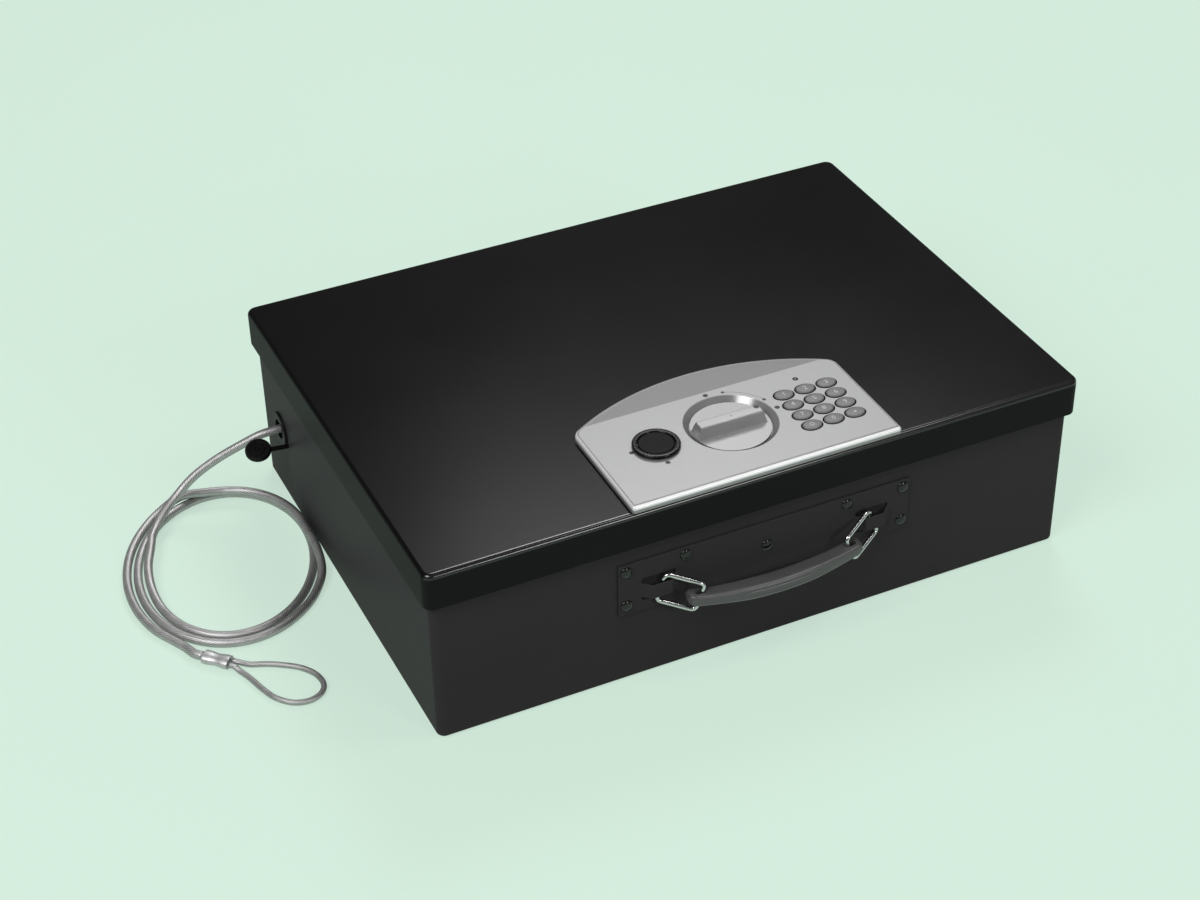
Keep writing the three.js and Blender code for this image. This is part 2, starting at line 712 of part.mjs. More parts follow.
// Rear hinges: leaves with rolled knuckles on a plain pin, outside the body and the lid's skirt
function makeHinge(side, name) {
  const axisY = lidHalfY + hingeBarrel;
  const group = groupAt(safe, side * (lidHalfX - hingeFromEnd), axisY, skirtBottom - hingeBelowSkirt);
  const half = hingeWidth / 2;
  const middle = middleKnuckle / 2;
  const bore = (x0, x1) => rod(x0 - cutPast, x1 + cutPast, 0, 0, hingePin + gap);
  const skin = -hingeBarrel;
  const lidLeaf = joined(
    block(-half, half, skin, skin + hingeLeaf, hingeBarrel + lidOverhang / 2, lidLeafHeight),
    block(-middle, middle, skin, skin + hingeLeaf, 0, hingeBarrel + lidOverhang),
    rod(-middle, middle, 0, 0, hingeBarrel, smallSides + 4),
  ).subtract(bore(-middle, middle));
  piece(group, `hinge_lid_leaf_${name}`, lidLeaf, blackPaint);
  const wall = bodyHalfY - axisY;
  const leafTop = -hingeBarrel * 2.3;
  const neck = polygon([
    [wall, leafTop - hingeLeaf * 2], [wall + hingeLeaf, leafTop - hingeLeaf * 2],
    [-hingeBarrel * 0.25, -hingeBarrel * 0.92], [-hingeBarrel * 0.92, -hingeBarrel * 0.25], [wall, leafTop],
  ]);
  const knuckles = [[-half, -middle - gap], [middle + gap, half]].map(([x0, x1]) => joined(
    rod(x0, x1, 0, 0, hingeBarrel, smallSides + 4), alongX(neck, x0, x1)).subtract(bore(x0, x1)));
  const plate = block(-half, half, wall, wall + hingeLeaf, -bodyLeafBottom, leafTop - hingeLeaf);
  piece(group, `hinge_body_leaf_${name}`, joined(plate, ...knuckles), blackPaint);
  piece(group, `hinge_pin_${name}`, joined(
    rod(-half - gap - pinHeadLength / 2, half + gap + pinHeadLength / 2, 0, 0, hingePin),
    rod(-half - gap - pinHeadLength, -half - gap, 0, 0, pinHeadRadius),
    rod(half + gap, half + gap + pinHeadLength, 0, 0, pinHeadRadius)), platedSteel);
}

// Handle plate with two raised straps, each standing over a slit above and below it
function makeHandlePlate() {
  let plate = block(-plateHalf, plateHalf, -plateThickness, 0, plateBottom, plateTop);
  for (const side of [-1, 1]) {
    const x = side * strapX;
    const slitHalf = strapHalfHeight + slitHeight;
    const opening = strapFoot - plateThickness;
    plate = plate.subtract(block(x - opening, x + opening, -plateThickness - cutPast, cutPast,
      ringHeight - slitHalf, ringHeight + slitHalf));
    const out = -plateThickness - strapRaise;
    const underFlat = strapFlat - plateThickness / 2;
    const bridge = polygon([
      [x - strapFoot, 0], [x + strapFoot, 0], [x + strapFoot, -plateThickness], [x + strapFlat, out],
      [x - strapFlat, out], [x - strapFoot, -plateThickness],
    ]);
    const under = polygon([
      [x - opening, cutPast], [x + opening, cutPast], [x + opening, 0],
      [x + underFlat, out + plateThickness], [x - underFlat, out + plateThickness], [x - opening, 0],
    ]);
    const [low, high] = [ringHeight - strapHalfHeight, ringHeight + strapHalfHeight];
    plate = plate.add(prism(bridge, low, high).subtract(prism(under, low - cutPast, high + cutPast)));
  }
  for (const [x, z] of rivetSpots) {
    plate = plate.subtract(rivetHole(x, z, cutPast));
  }
  piece(handle, 'handle_plate', plate, blackPaint);
  const shankEnd = plateThickness + sheet;
  const rivet = solid(turned([
    [0, -shankEnd - rivetTailHeight], [rivetTail, -shankEnd - rivetTailHeight], [rivetTail, -shankEnd],
    [rivetShank, -shankEnd], [rivetShank, 0], [rivetHead, 0], [rivetHead * 0.85, rivetHeadHeight * 0.55],
    [rivetHead * 0.45, rivetHeadHeight * 0.93], [0, rivetHeadHeight],
  ], rivetSides).rotateX(Math.PI / 2));
  rivetSpots.forEach(([x, z], i) => {
    piece(handle, `handle_rivet_${i + 1}`, rivet, blackPaint).position.set(x, -plateThickness, z);
  });
}

// Where a ring's back bar turns behind its strap, and where its front bar lies in the grip's eye
const droop = THREE.MathUtils.degToRad(ringDroop);
const ringSwing = Math.sqrt(ringReach ** 2 - ringOut ** 2);
const ringBack = new THREE.Vector3(strapX, -strapRaise + gap + ringWire, ringHeight);
const eyeX = strapX - ringSwing * Math.cos(droop);
const eyeY = ringBack.y - ringOut;
const eyeZ = ringHeight - ringSwing * Math.sin(droop);

// Wire ring: a rectangle of bent wire whose ends meet in the grip's eye
function makeRing(side, name) {
  const back = ringBack.clone().setX(side * ringBack.x);
  const leg = new THREE.Vector3(side * (eyeX - strapX), -ringOut, eyeZ - ringHeight);
  const across = new THREE.Vector3(side * Math.sin(droop), 0, -Math.cos(droop)).multiplyScalar(ringWidth / 2);
  const front = back.clone().add(leg);
  const splitStep = across.clone().setLength(ringSplit / 2);
  const corners = [
    front.clone().add(splitStep), front.clone().add(across), back.clone().add(across),
    back.clone().sub(across), front.clone().sub(across), front.clone().sub(splitStep),
  ];
  const path = new THREE.CurvePath();
  let from = corners[0];
  for (let i = 1; i < corners.length - 1; i++) {
    const start = corners[i].clone().add(corners[i - 1].clone().sub(corners[i]).setLength(ringCorner));
    const end = corners[i].clone().add(corners[i + 1].clone().sub(corners[i]).setLength(ringCorner));
    path.add(new THREE.LineCurve3(from, start));
    path.add(new THREE.QuadraticBezierCurve3(start, corners[i], end));
    from = end;
  }
  path.add(new THREE.LineCurve3(from, corners.at(-1)));
  piece(handle, `handle_ring_${name}`, tube(path, ringWire, wireSides, 34), chromeWire);
}

// Grip: a bowed moulding, thick in the middle, with a thinner tongue and an eye at each end
function makeGrip() {
  const half = eyeX + gripBeyondEye;
  const stations = 14;
  const rings = [];
  for (let i = 0; i <= stations; i++) {
    const x = half * (2 * i / stations - 1);
    const fromEnd = half - Math.abs(x);
    const swell = THREE.MathUtils.smoothstep(fromEnd, gripTongue, gripTongue + gripShoulder);
    const bow = 1 - (x / eyeX) ** 2;
    const halfY = THREE.MathUtils.lerp(gripEndHalfY, gripMidHalfY, swell);
    const halfZ = THREE.MathUtils.lerp(gripEndHalfZ, gripMidHalfZ, swell);
    const tip = fromEnd < gripTip ? 0.75 : 1;
    rings.push(roundedRect(halfY * tip, halfZ, halfZ * 0.6).getPoints(2).slice(0, -1).map((q) => (
      new THREE.Vector3(x, eyeY - gripBowOut * bow + q.x, eyeZ - gripBowDown * bow + q.y))));
  }
  let grip = loft(rings);
  for (const side of [-1, 1]) {
    const slack = ringWire + gap;
    const eye = roundedRect(gripEyeSlot + slack, slack, slack - gap / 2, side * eyeX, eyeY);
    grip = grip.subtract(prism(eye, eyeZ - gripMidHalfZ * 3, eyeZ + gripMidHalfZ * 3, 2));
  }
  piece(handle, 'handle_grip', grip, gripBlack);
}

// Cable port: a rubber grommet in the wall, the cable's steel stop behind it and a tethered plug
function makePort() {
  const port = groupAt(safe, -bodyHalfX, portY, portHeight);
  const inLip = sheet + grommetLipThickness;
  const grommet = turned([
    [grommetBore, -grommetLipThickness], [grommetLip - gap, -grommetLipThickness], [grommetLip, 0],
    [portRadius - gap, 0], [portRadius - gap, sheet], [grommetLip, sheet], [grommetLip, inLip],
    [grommetBore, inLip], [grommetBore, -grommetLipThickness],
  ]).rotateY(Math.PI / 2);
  piece(port, 'port_grommet', solid(grommet), blackRubber);
  piece(port, 'cable_stop', joined(
    rod(inLip, inLip + stopThickness, 0, 0, stopRadius, roundSides),
    rod(inLip + stopThickness / 2, inLip + stopThickness + stopSleeveLength, 0, 0, stopSleeve)), platedSteel);
  const capX = -hatchCapReach;
  const [capY, capZ] = [hatchCapY - portY, hatchCapHeight - portHeight];
  const capHalf = hatchCapThickness / 2;
  const cap = turned([
    [0, -capHalf], [hatchCapRadius * 0.7, -capHalf], [hatchCapRadius, -capHalf * 0.4],
    [hatchCapRadius, capHalf * 0.4], [hatchCapRadius * 0.8, capHalf * 0.85], [0, capHalf],
  ]).rotateX(THREE.MathUtils.degToRad(hatchCapLean)).rotateY(THREE.MathUtils.degToRad(hatchCapTurn))
    .translate(capX, capY, capZ);
  const tab = block(capX + hatchCapRadius / 2, -gap, -grommetLip - gap - strapTabWidth, -grommetLip - gap,
    capZ - strapTabHeight, capZ);
  piece(port, 'port_plug', joined(solid(cap), tab), blackRubber);
}

// Free stretch of the cable, from the stop through the grommet and down to the coil's start
const cableDrop = [
  [-186, 96.8, 46], [-193, 97.8, 44.7], [-203, 100.3, 40], [-218, 104, 31.8], [-231.5, 105.6, 23.3],
  [-242, 104, 15.6], [-251, 99.3, 11], [-257.9, 92.4, 8.2],
];

// From the coil's end the cable bends to the ferrule, whose eye loop runs round these points
const cableTail = [-273.6, -7.6, cableRadius + floorLift];
const ferruleTurn = THREE.MathUtils.degToRad(-46);
const ferruleCentre = new THREE.Vector3(-262, -24.6, ferruleHeight / 2 + floorLift);
const ferruleAhead = new THREE.Vector3(Math.cos(ferruleTurn), Math.sin(ferruleTurn), 0);
const eyeRoute = [
  [-247.7, -34.3], [-240.2, -37.7], [-233, -42], [-224.6, -48.9], [-219.5, -57.5], [-218.9, -66.3],
  [-222.6, -71.8], [-229.3, -74.2], [-237.1, -72.1], [-244.1, -64.8], [-248.2, -54.7], [-251.1, -44.4],
  [-254, -36.8],
];

// Coil: loops that spiral outwards on the floor. Its start comes down inside the first loop, and part
// of the last turn rides on the one inside it
function coilPoint(turn) {
  const angle = THREE.MathUtils.degToRad(coilStart + 360 * turn - coilTilt);
  const climb = coilRoll(turn);
  const entry = coilEntryHeight * (1 - THREE.MathUtils.smoothstep(turn, 0, coilEntryTurns));
  let grow = coilPitch * turn;
  if (turn > 1) {
    grow = coilPitch * (turn - 1) + coilPitch * Math.cos(climb);
  }
  const tilt = THREE.MathUtils.degToRad(coilTilt);
  const [along, over] = [(coilLong + grow) * Math.cos(angle), (coilShort + grow) * Math.sin(angle)];
  return new THREE.Vector3(
    coilX + along * Math.cos(tilt) - over * Math.sin(tilt),
    coilY + along * Math.sin(tilt) + over * Math.cos(tilt),
    cableRadius + floorLift + coilStack * Math.sin(climb) + entry);
}

// Roll of the outer strand round the one inside it: it climbs over it where the coil meets the wall
function coilRoll(turn) {
  const over = coilRollOver * THREE.MathUtils.smoothstep(turn, coilRollFrom, coilRollUp);
  const inward = coilRollIn * THREE.MathUtils.smoothstep(turn, coilRollUp, coilRollTop);
  const back = THREE.MathUtils.smoothstep(turn, coilRollBack, coilRollDown);
  return THREE.MathUtils.degToRad(over + inward) * (1 - back);
}

function makeCable() {
  const coil = [];
  const steps = Math.round(coilTurns * coilStepsPerTurn);
  for (let i = 0; i <= steps; i++) {
    coil.push(coilPoint(coilTurns * i / steps));
  }
  const lead = coil[0].clone().add(coil[0].clone().sub(coil[1]).setLength(coilStraight));
  const entry = ferruleCentre.clone().addScaledVector(ferruleAhead, -ferruleLength / 2 - gap);
  const route = [lead, ...coil, new THREE.Vector3(...cableTail), entry.clone().addScaledVector(ferruleAhead,
    -coilStraight), entry];
  let least = Infinity;
  for (let i = 0; i < coil.length; i++) {
    for (let j = i + Math.round(coilStepsPerTurn / 2); j < coil.length; j++) {
      least = Math.min(least, coil[i].distanceTo(coil[j]));
    }
  }
  console.log(`coil: least gap to itself ${(least - 2 * cableRadius).toFixed(2)} mm`);
  const coilPath = new THREE.CatmullRomCurve3(route, false, 'centripetal');
  piece(safe, 'cable_coil', tube(coilPath, cableRadius, coilSides, steps + 4), cableSteel);
  const start = [-bodyHalfX + sheet + grommetLipThickness - gap, portY, portHeight];
  const meet = lead.clone().add(lead.clone().sub(coil[0]).setLength(gap));
  const nearMeet = meet.clone().add(lead.clone().sub(coil[0]).setLength(coilStraight));
  const runPath = smoothPath([start, ...cableDrop, nearMeet.toArray(), meet.toArray()]);
  piece(safe, 'cable_run', tube(runPath, cableRadius, cableSides, 16), cableSteel);
}

// Crimped ferrule at the cable's end, and the thin eye loop that leaves it
function makeFerrule() {
  const body = softPrism(roundedRect(ferruleWidth / 2, ferruleHeight / 2, ferruleHeight / 2 - ferruleFlat),
    -ferruleLength / 2, ferruleLength / 2, ferruleEdge, 2, 1);
  const group = groupAt(safe, ferruleCentre.x, ferruleCentre.y, ferruleCentre.z);
  group.rotation.z = ferruleTurn;
  piece(group, 'cable_ferrule', body, aluminium).rotation.set(Math.PI / 2, Math.PI / 2, 0);
  const beside = new THREE.Vector3(-ferruleAhead.y, ferruleAhead.x, 0);
  const mouth = ferruleCentre.clone().addScaledVector(ferruleAhead, ferruleLength / 2 + gap);
  const strand = (offset, reach) => (
    mouth.clone().addScaledVector(beside, offset).addScaledVector(ferruleAhead, reach));
  const z = eyeWire + 3 * floorLift;
  const offset = eyeWire + gap;
  const points = [strand(offset, 0), strand(offset, eyeWire * 2), ...eyeRoute.map(([x, y]) => (
    new THREE.Vector3(x, y, z))), strand(-offset, eyeWire * 2), strand(-offset, 0)];
  const path = new THREE.CatmullRomCurve3(points, false, 'centripetal');
  piece(safe, 'cable_eye', tube(path, eyeWire, wireSides, 30), cableSteel);
}

makeBody();
makeLid();
makePanel();
makeKeypad();
makeDial();
makeKeyLock();
makeBolt();
makeSolenoid();
makeCase();
makeHinge(-1, 'left');
makeHinge(1, 'right');
makeHandlePlate();
makeRing(-1, 'left');
makeRing(1, 'right');
makeGrip();
makePort();
makeCable();
makeFerrule();

export default safe;
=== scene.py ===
import math

import bmesh
import bpy
from mathutils import Matrix, Vector


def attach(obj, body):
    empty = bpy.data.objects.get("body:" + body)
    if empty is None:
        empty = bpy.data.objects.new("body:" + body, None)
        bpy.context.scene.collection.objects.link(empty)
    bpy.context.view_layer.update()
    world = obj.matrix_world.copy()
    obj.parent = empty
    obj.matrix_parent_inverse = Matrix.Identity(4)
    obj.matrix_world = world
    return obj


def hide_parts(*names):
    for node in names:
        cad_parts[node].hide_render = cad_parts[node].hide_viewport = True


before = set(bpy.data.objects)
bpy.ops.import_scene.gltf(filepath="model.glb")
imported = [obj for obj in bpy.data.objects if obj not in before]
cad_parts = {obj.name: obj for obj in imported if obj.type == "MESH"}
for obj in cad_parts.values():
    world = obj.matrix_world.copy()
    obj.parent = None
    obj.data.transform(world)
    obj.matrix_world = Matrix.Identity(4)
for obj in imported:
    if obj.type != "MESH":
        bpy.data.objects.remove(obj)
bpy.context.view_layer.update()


# Camera, floor and lamps: the box stands on a plain pale floor under soft boxes, and the camera
# looks down over its front left corner, as the photographer did. Only the camera, glossy and
# transmission rays see the floor's tint, so the light that it throws back on the box is neutral.
bpy.ops.object.camera_add()
camera = bpy.context.object
camera.name = "camera"
camera.data.sensor_width = 36
camera.data.lens = 71.94
right = Vector((0.90412, -0.42695, -0.01650)).normalized()
ahead = Vector((0.33651, 0.73533, -0.58826)).normalized()
above = right.cross(ahead)
turn = Matrix((right, above, -ahead)).transposed().to_4x4()
camera.matrix_world = Matrix.Translation((-0.4710, -0.9603, 0.8137)) @ turn
bpy.context.scene.camera = camera
bpy.context.scene.view_settings.view_transform = "Standard"


class Wire:
    """One output of a shader node. Sums and products of wires become new nodes."""

    def __init__(self, socket):
        self.socket = socket
        self.tree = socket.id_data

    def make(self, kind, settings, inputs, out=0):
        """New node with its settings and inputs, as the wire of one of its outputs."""
        node = self.tree.nodes.new(kind)
        for name, value in settings.items():
            setattr(node, name, value)
        for name, value in inputs.items():
            if isinstance(value, Wire):
                self.tree.links.new(value.socket, node.inputs[name])
            else:
                node.inputs[name].default_value = value
        return Wire(node.outputs[out])

    def math(self, operation, a, b=0.0, c=0.0, clamp=False):
        return self.make("ShaderNodeMath", {"operation": operation, "use_clamp": clamp}, {0: a, 1: b, 2: c})

    def __add__(self, other):
        return self.math("ADD", self, other)

    def __radd__(self, other):
        return self.math("ADD", other, self)

    def __sub__(self, other):
        return self.math("SUBTRACT", self, other)

    def __rsub__(self, other):
        return self.math("SUBTRACT", other, self)

    def __mul__(self, other):
        return self.math("MULTIPLY", self, other)

    def past(self, edge, soft):
        """0 below an edge and 1 above it, over a soft step."""
        return self.math("MULTIPLY_ADD", self, 1 / soft, 0.5 - edge / soft, clamp=True)

    def tint(self, low, high):
        """Colour that goes from low to high as the wire goes from 0 to 1."""
        return self.make("ShaderNodeMix", {"data_type": "RGBA"}, {0: self, 6: low, 7: high}, 2)

    def noise(self, scale, detail=2.0, roughness=0.5):
        return self.make("ShaderNodeTexNoise", {}, {"Vector": self, "Scale": scale, "Detail": detail,
                                                    "Roughness": roughness})

    def stretched(self, x, y, z):
        return self.make("ShaderNodeMapping", {}, {"Vector": self, "Scale": (x, y, z)})

    def axis(self, letter):
        return self.make("ShaderNodeSeparateXYZ", {}, {0: self}, "XYZ".index(letter))

    def from_point(self, point):
        return self.make("ShaderNodeVectorMath", {"operation": "DISTANCE"}, {0: self, 1: tuple(point)}, 1)

    def bump(self, strength, distance):
        return self.make("ShaderNodeBump", {}, {"Height": self, "Strength": strength, "Distance": distance})


def start_look(name, **plain):
    """New material, its shader with plain values set, and the wire of the place on the piece."""
    look = bpy.data.materials.new(name)
    look.use_nodes = True
    shader = look.node_tree.nodes["Principled BSDF"]
    for socket, value in plain.items():
        shader.inputs[socket.replace("_", " ")].default_value = value
    return look, shader, Wire(look.node_tree.nodes.new("ShaderNodeTexCoord").outputs["Object"])


def feed(shader, **links):
    """Leads wires into the shader's inputs of these names."""
    for socket, wire in links.items():
        shader.id_data.links.new(wire.socket, shader.inputs[socket.replace("_", " ")])


def grey(level, tone=(1, 1, 1)):
    return (level * tone[0], level * tone[1], level * tone[2], 1)


bpy.ops.object.select_all(action="DESELECT")
bpy.ops.mesh.primitive_plane_add(size=16, location=(0, 0, -0.0002))
floor = bpy.context.object
floor.name = "floor"
floor_look, shader, place = start_look("pale_floor", Roughness=1.0, Specular_IOR_Level=0.0,
                                       Emission_Strength=1.0)
camera_ray, glossy_ray, clear_ray = [place.make("ShaderNodeLightPath", {}, {}, f"Is {kind} Ray")
                                     for kind in ("Camera", "Glossy", "Transmission")]
seen = camera_ray.math("MAXIMUM", camera_ray, glossy_ray.math("MAXIMUM", glossy_ray, clear_ray))
mottle = place.noise(3.0)
feed(shader,
     Base_Color=seen.tint(mottle.tint(grey(0.5), grey(0.54)),
                          mottle.tint((0.19, 0.247, 0.21, 1), (0.2, 0.257, 0.22, 1))),
     Emission_Color=seen.tint(grey(0), mottle.tint((0.472, 0.594, 0.514, 1), (0.48, 0.604, 0.522, 1))))
floor.data.materials.append(floor_look)

world = bpy.data.worlds.new("studio")
bpy.context.scene.world = world
world.use_nodes = True
world.node_tree.nodes["Background"].inputs["Color"].default_value = (1, 1, 1, 1)
world.node_tree.nodes["Background"].inputs["Strength"].default_value = 0.2

for name, at, aim, size, watts in (
    ("back_box", (0.77, 1.34, 1.94), (0, 0, 0.1), 0.85, 20),
    ("overhead_right_box", (0.88, -0.54, 2.09), (0, -0.1, 0.11), 0.5, 7),
    ("upper_left_box", (-1.38, -0.69, 1.8), (0, 0, 0.05), 1.1, 27),
    ("front_box", (0.8, -2.25, 1.2), (0, 0, 0.05), 0.6, 12),
):
    bpy.ops.object.light_add(type="AREA", location=at)
    lamp = bpy.context.object
    lamp.name = name
    lamp.data.size = size
    lamp.data.energy = watts
    lamp.rotation_euler = (Vector(aim) - Vector(at)).to_track_quat("-Z", "Y").to_euler()


# Tether cable: twisted steel strands in a thin clear sleeve, 4.8 mm across. It leaves the left wall,
# comes down into two and a bit loose loops on the floor and ends in a pressed ferrule.
def through(points, spacing):
    """Centripetal curve through the points, as a list of points about one spacing apart."""
    points = [Vector(q) for q in points]
    points = [points[0] * 2 - points[1], *points, points[-1] * 2 - points[-2]]
    route = []
    for p0, p1, p2, p3 in zip(points, points[1:], points[2:], points[3:]):
        t1 = (p1 - p0).length ** 0.5
        t2 = t1 + (p2 - p1).length ** 0.5
        t3 = t2 + (p3 - p2).length ** 0.5
        steps = max(1, round((p2 - p1).length / spacing))
        for i in range(steps):
            t = t1 + (t2 - t1) * i / steps
            a1 = p0 * ((t1 - t) / t1) + p1 * (t / t1)
            a2 = p1 * ((t2 - t) / (t2 - t1)) + p2 * ((t - t1) / (t2 - t1))
            a3 = p2 * ((t3 - t) / (t3 - t2)) + p3 * ((t - t2) / (t3 - t2))
            b1 = a1 * ((t2 - t) / t2) + a2 * (t / t2)
            b2 = a2 * ((t3 - t) / (t3 - t1)) + a3 * ((t - t1) / (t3 - t1))
            route.append(b1 * ((t2 - t) / (t2 - t1)) + b2 * ((t - t1) / (t2 - t1)))
    route.append(points[-2])
    return route


def skin(name, rings, distances=None):
    """Closed mesh over rings of points, with a UV map of metres along it and turns round it."""
    shape = bmesh.new()
    uv = shape.loops.layers.uv.new("along_and_round")
    made = [[shape.verts.new(q) for q in ring] for ring in rings]
    sides = len(rings[0])
    for i in range(len(rings) - 1):
        for j in range(sides):
            k = (j + 1) % sides
            face = shape.faces.new((made[i][j], made[i][k], made[i + 1][k], made[i + 1][j]))
            face.smooth = True
            if distances:
                spots = ((i, j), (i, j + 1), (i + 1, j + 1), (i + 1, j))
                for loop, (step, side) in zip(face.loops, spots):
                    loop[uv].uv = (distances[step], side / sides)
    shape.faces.new(list(reversed(made[0])))
    shape.faces.new(made[-1])
    bmesh.ops.recalc_face_normals(shape, faces=shape.faces)
    mesh = bpy.data.meshes.new(name)
    shape.to_mesh(mesh)
    shape.free()
    piece = bpy.data.objects.new(name, mesh)
    bpy.context.scene.collection.objects.link(piece)
    return piece


def wire_rod(name, route, radius, sides):
    """Round rod along a route, without twist from one ring to the next."""
    rings, distances, travelled = [], [], 0.0
    side = None
    for i, point in enumerate(route):
        heading = (route[min(i + 1, len(route) - 1)] - route[max(i - 1, 0)]).normalized()
        if side is None:
            side = heading.orthogonal().normalized()
        side = (side - heading * side.dot(heading)).normalized()
        other = heading.cross(side)
        if i:
            travelled += (point - route[i - 1]).length
        distances.append(travelled)
        turns = [2 * math.pi * j / sides for j in range(sides)]
        rings.append([point + (side * math.cos(t) + other * math.sin(t)) * radius for t in turns])
    return skin(name, rings, distances)


def settle(piece, body, slot, look, *nodes):
    """Gives a finished piece its material and the body it moves with, and hides the nodes that it stands for;
    its slot is not used.
    """
    piece.data.materials.clear()
    piece.data.materials.append(look)
    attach(piece, body)
    if nodes:
        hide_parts(*nodes)
    return piece


def strand_look(name, lay, strands, dark, bright):
    """Steel wires twisted under a clear sleeve, with their lay length in metres and their number."""
    look, shader, place = start_look(name, Metallic=0.85, Specular_Tint=grey(0.12), Coat_Weight=0.12,
                                     Coat_Roughness=0.3)
    uv = place.make("ShaderNodeUVMap", {"uv_map": "along_and_round"}, {})
    phase = uv.axis("X") * (strands / lay) + uv.axis("Y") * strands
    ridge = phase.math("SINE", phase * (2 * math.pi)) * 0.5 + 0.5
    thread = phase.math("SINE", phase * (8 * math.pi)) * 0.5 + 0.5
    wear = place.noise(220, 4, 0.6)
    tone = ridge * 0.45 + thread * 0.2 + wear * 0.5
    feed(shader, Base_Color=tone.tint(grey(dark), grey(bright, (1, 0.985, 0.98))),
         Roughness=0.34 + wear * 0.2,
         Normal=(ridge * 0.8 + thread * 0.2).bump(0.5, 0.00015))
    return look


floor_lift = 0.0001
cable_radius, cable_step, cable_sides = 0.0024, 0.0016, 24
coil_centre = (-0.2315, 0.0493)
coil_long, coil_short, coil_pitch = 0.0592, 0.0427, 0.0059
coil_tilt, coil_start, coil_turns = math.radians(74.3), 150, 2.2
coil_stack, entry_height = 0.0053, 0.0045


def rise(value, low, high):
    share = min(1.0, max(0.0, (value - low) / (high - low)))
    return share * share * (3 - 2 * share)


def coil_point(turn):
    """Point of the coil after so many turns. Its outer strand climbs over the inner one by the wall."""
    climb = math.radians(100 * rise(turn, 1.46, 1.58) + 25 * rise(turn, 1.58, 1.76))
    climb *= 1 - rise(turn, 1.8, 1.93)
    entry = entry_height * (1 - rise(turn, 0, 0.15))
    grow = coil_pitch * turn if turn <= 1 else coil_pitch * (turn - 1 + math.cos(climb))
    angle = math.radians(coil_start + 360 * turn) - coil_tilt
    u, v = (coil_long + grow) * math.cos(angle), (coil_short + grow) * math.sin(angle)
    return Vector((coil_centre[0] + u * math.cos(coil_tilt) - v * math.sin(coil_tilt),
                   coil_centre[1] + u * math.sin(coil_tilt) + v * math.cos(coil_tilt),
                   cable_radius + floor_lift + coil_stack * math.sin(climb) + entry))


ferrule_turn = math.radians(-46)
ferrule_ahead = Vector((math.cos(ferrule_turn), math.sin(ferrule_turn), 0))
ferrule_middle = Vector((-0.262, -0.0246, 0.0031))
ferrule_reach = 0.0078
coil = [coil_point(coil_turns * i / 53) for i in range(54)]
coil_heading = (coil[0] - coil[1]).normalized()
lead = coil[0] + coil_heading * 0.005
before = lead + coil_heading * 0.0053
mouth = ferrule_middle - ferrule_ahead * ferrule_reach
port_middle = Vector((-0.1808, 0.0965, 0.046))
drop = [(-0.178, 0.0965, 0.046), (-0.186, 0.0968, 0.046), (-0.193, 0.0978, 0.0447), (-0.203, 0.1003, 0.04),
        (-0.218, 0.104, 0.0318), (-0.2315, 0.1056, 0.0233), (-0.242, 0.104, 0.0156), (-0.251, 0.0993, 0.011),
        (-0.2579, 0.0924, 0.0082)]
route = through([*drop, before, lead, *coil, (-0.2736, -0.0076, cable_radius + floor_lift),
                 mouth - ferrule_ahead * 0.005, mouth], cable_step)
cable_look = strand_look("sleeved_strand", lay=0.026, strands=12, dark=0.18, bright=0.7)
cable = settle(wire_rod("tether_cable", route, cable_radius, cable_sides), "box", "cable_steel", cable_look,
               "cable_run", "cable_coil")
cable_length = sum((b - a).length for a, b in zip(route, route[1:]))


# Ferrule: a pressed aluminium sleeve, oval in section and drawn in a little at its middle, that
# joins the cable's end to the two legs of its eye. The short tools for modelled pieces are here.
def hold(piece):
    if bpy.context.object and bpy.context.object.mode == "EDIT":
        bpy.ops.object.mode_set(mode="OBJECT")
    bpy.ops.object.select_all(action="DESELECT")
    piece.select_set(True)
    bpy.context.view_layer.objects.active = piece


def start(primitive, name, **size):
    """Adds a primitive at its size with nothing else selected, and names it."""
    bpy.ops.object.select_all(action="DESELECT")
    getattr(bpy.ops.mesh, f"primitive_{primitive}_add")(**size)
    piece = bpy.context.object
    piece.name = piece.data.name = name
    return piece


def choose(piece, kind, test):
    """Goes into edit mode with the faces, edges or points chosen that pass the test."""
    hold(piece)
    bpy.ops.object.mode_set(mode="EDIT")
    bpy.ops.mesh.select_mode(type=kind)
    bpy.ops.mesh.select_all(action="DESELECT")
    shape = bmesh.from_edit_mesh(piece.data)
    for part in {"FACE": shape.faces, "EDGE": shape.edges, "VERT": shape.verts}[kind]:
        points = [part.co] if kind == "VERT" else [v.co for v in part.verts]
        if test(sum(points, Vector()) / len(points), part):
            part.select_set(True)
    shape.select_flush_mode()
    bmesh.update_edit_mesh(piece.data)


def upright(middle, edge):
    return abs(edge.verts[0].co.z - edge.verts[1].co.z) > 0.0005


def every(middle, part):
    return True


def up(middle, face):
    return face.normal.z > 0.9


def down(middle, face):
    return face.normal.z < -0.9


def apply(piece, kind, **settings):
    hold(piece)
    modifier = piece.modifiers.new(kind.lower(), kind)
    for name, value in settings.items():
        setattr(modifier, name, value)
    bpy.ops.object.modifier_apply(modifier=modifier.name)


def put_down(piece, at=(0, 0, 0), turn=(0, 0, 0), scale=(1, 1, 1)):
    """Moves a piece to its place and leaves its object at the origin, unturned and unscaled."""
    hold(piece)
    piece.location, piece.rotation_euler, piece.scale = at, turn, scale
    bpy.ops.object.transform_apply(location=True, rotation=True, scale=True)
    return piece


def smooth(piece, degrees=35):
    hold(piece)
    bpy.ops.object.shade_smooth_by_angle(angle=math.radians(degrees))


def face_weights(piece):
    """Keeps the flat faces flat in their shading, beside rounded edges."""
    smooth(piece, 40)
    apply(piece, "WEIGHTED_NORMAL", keep_sharp=True, weight=80)


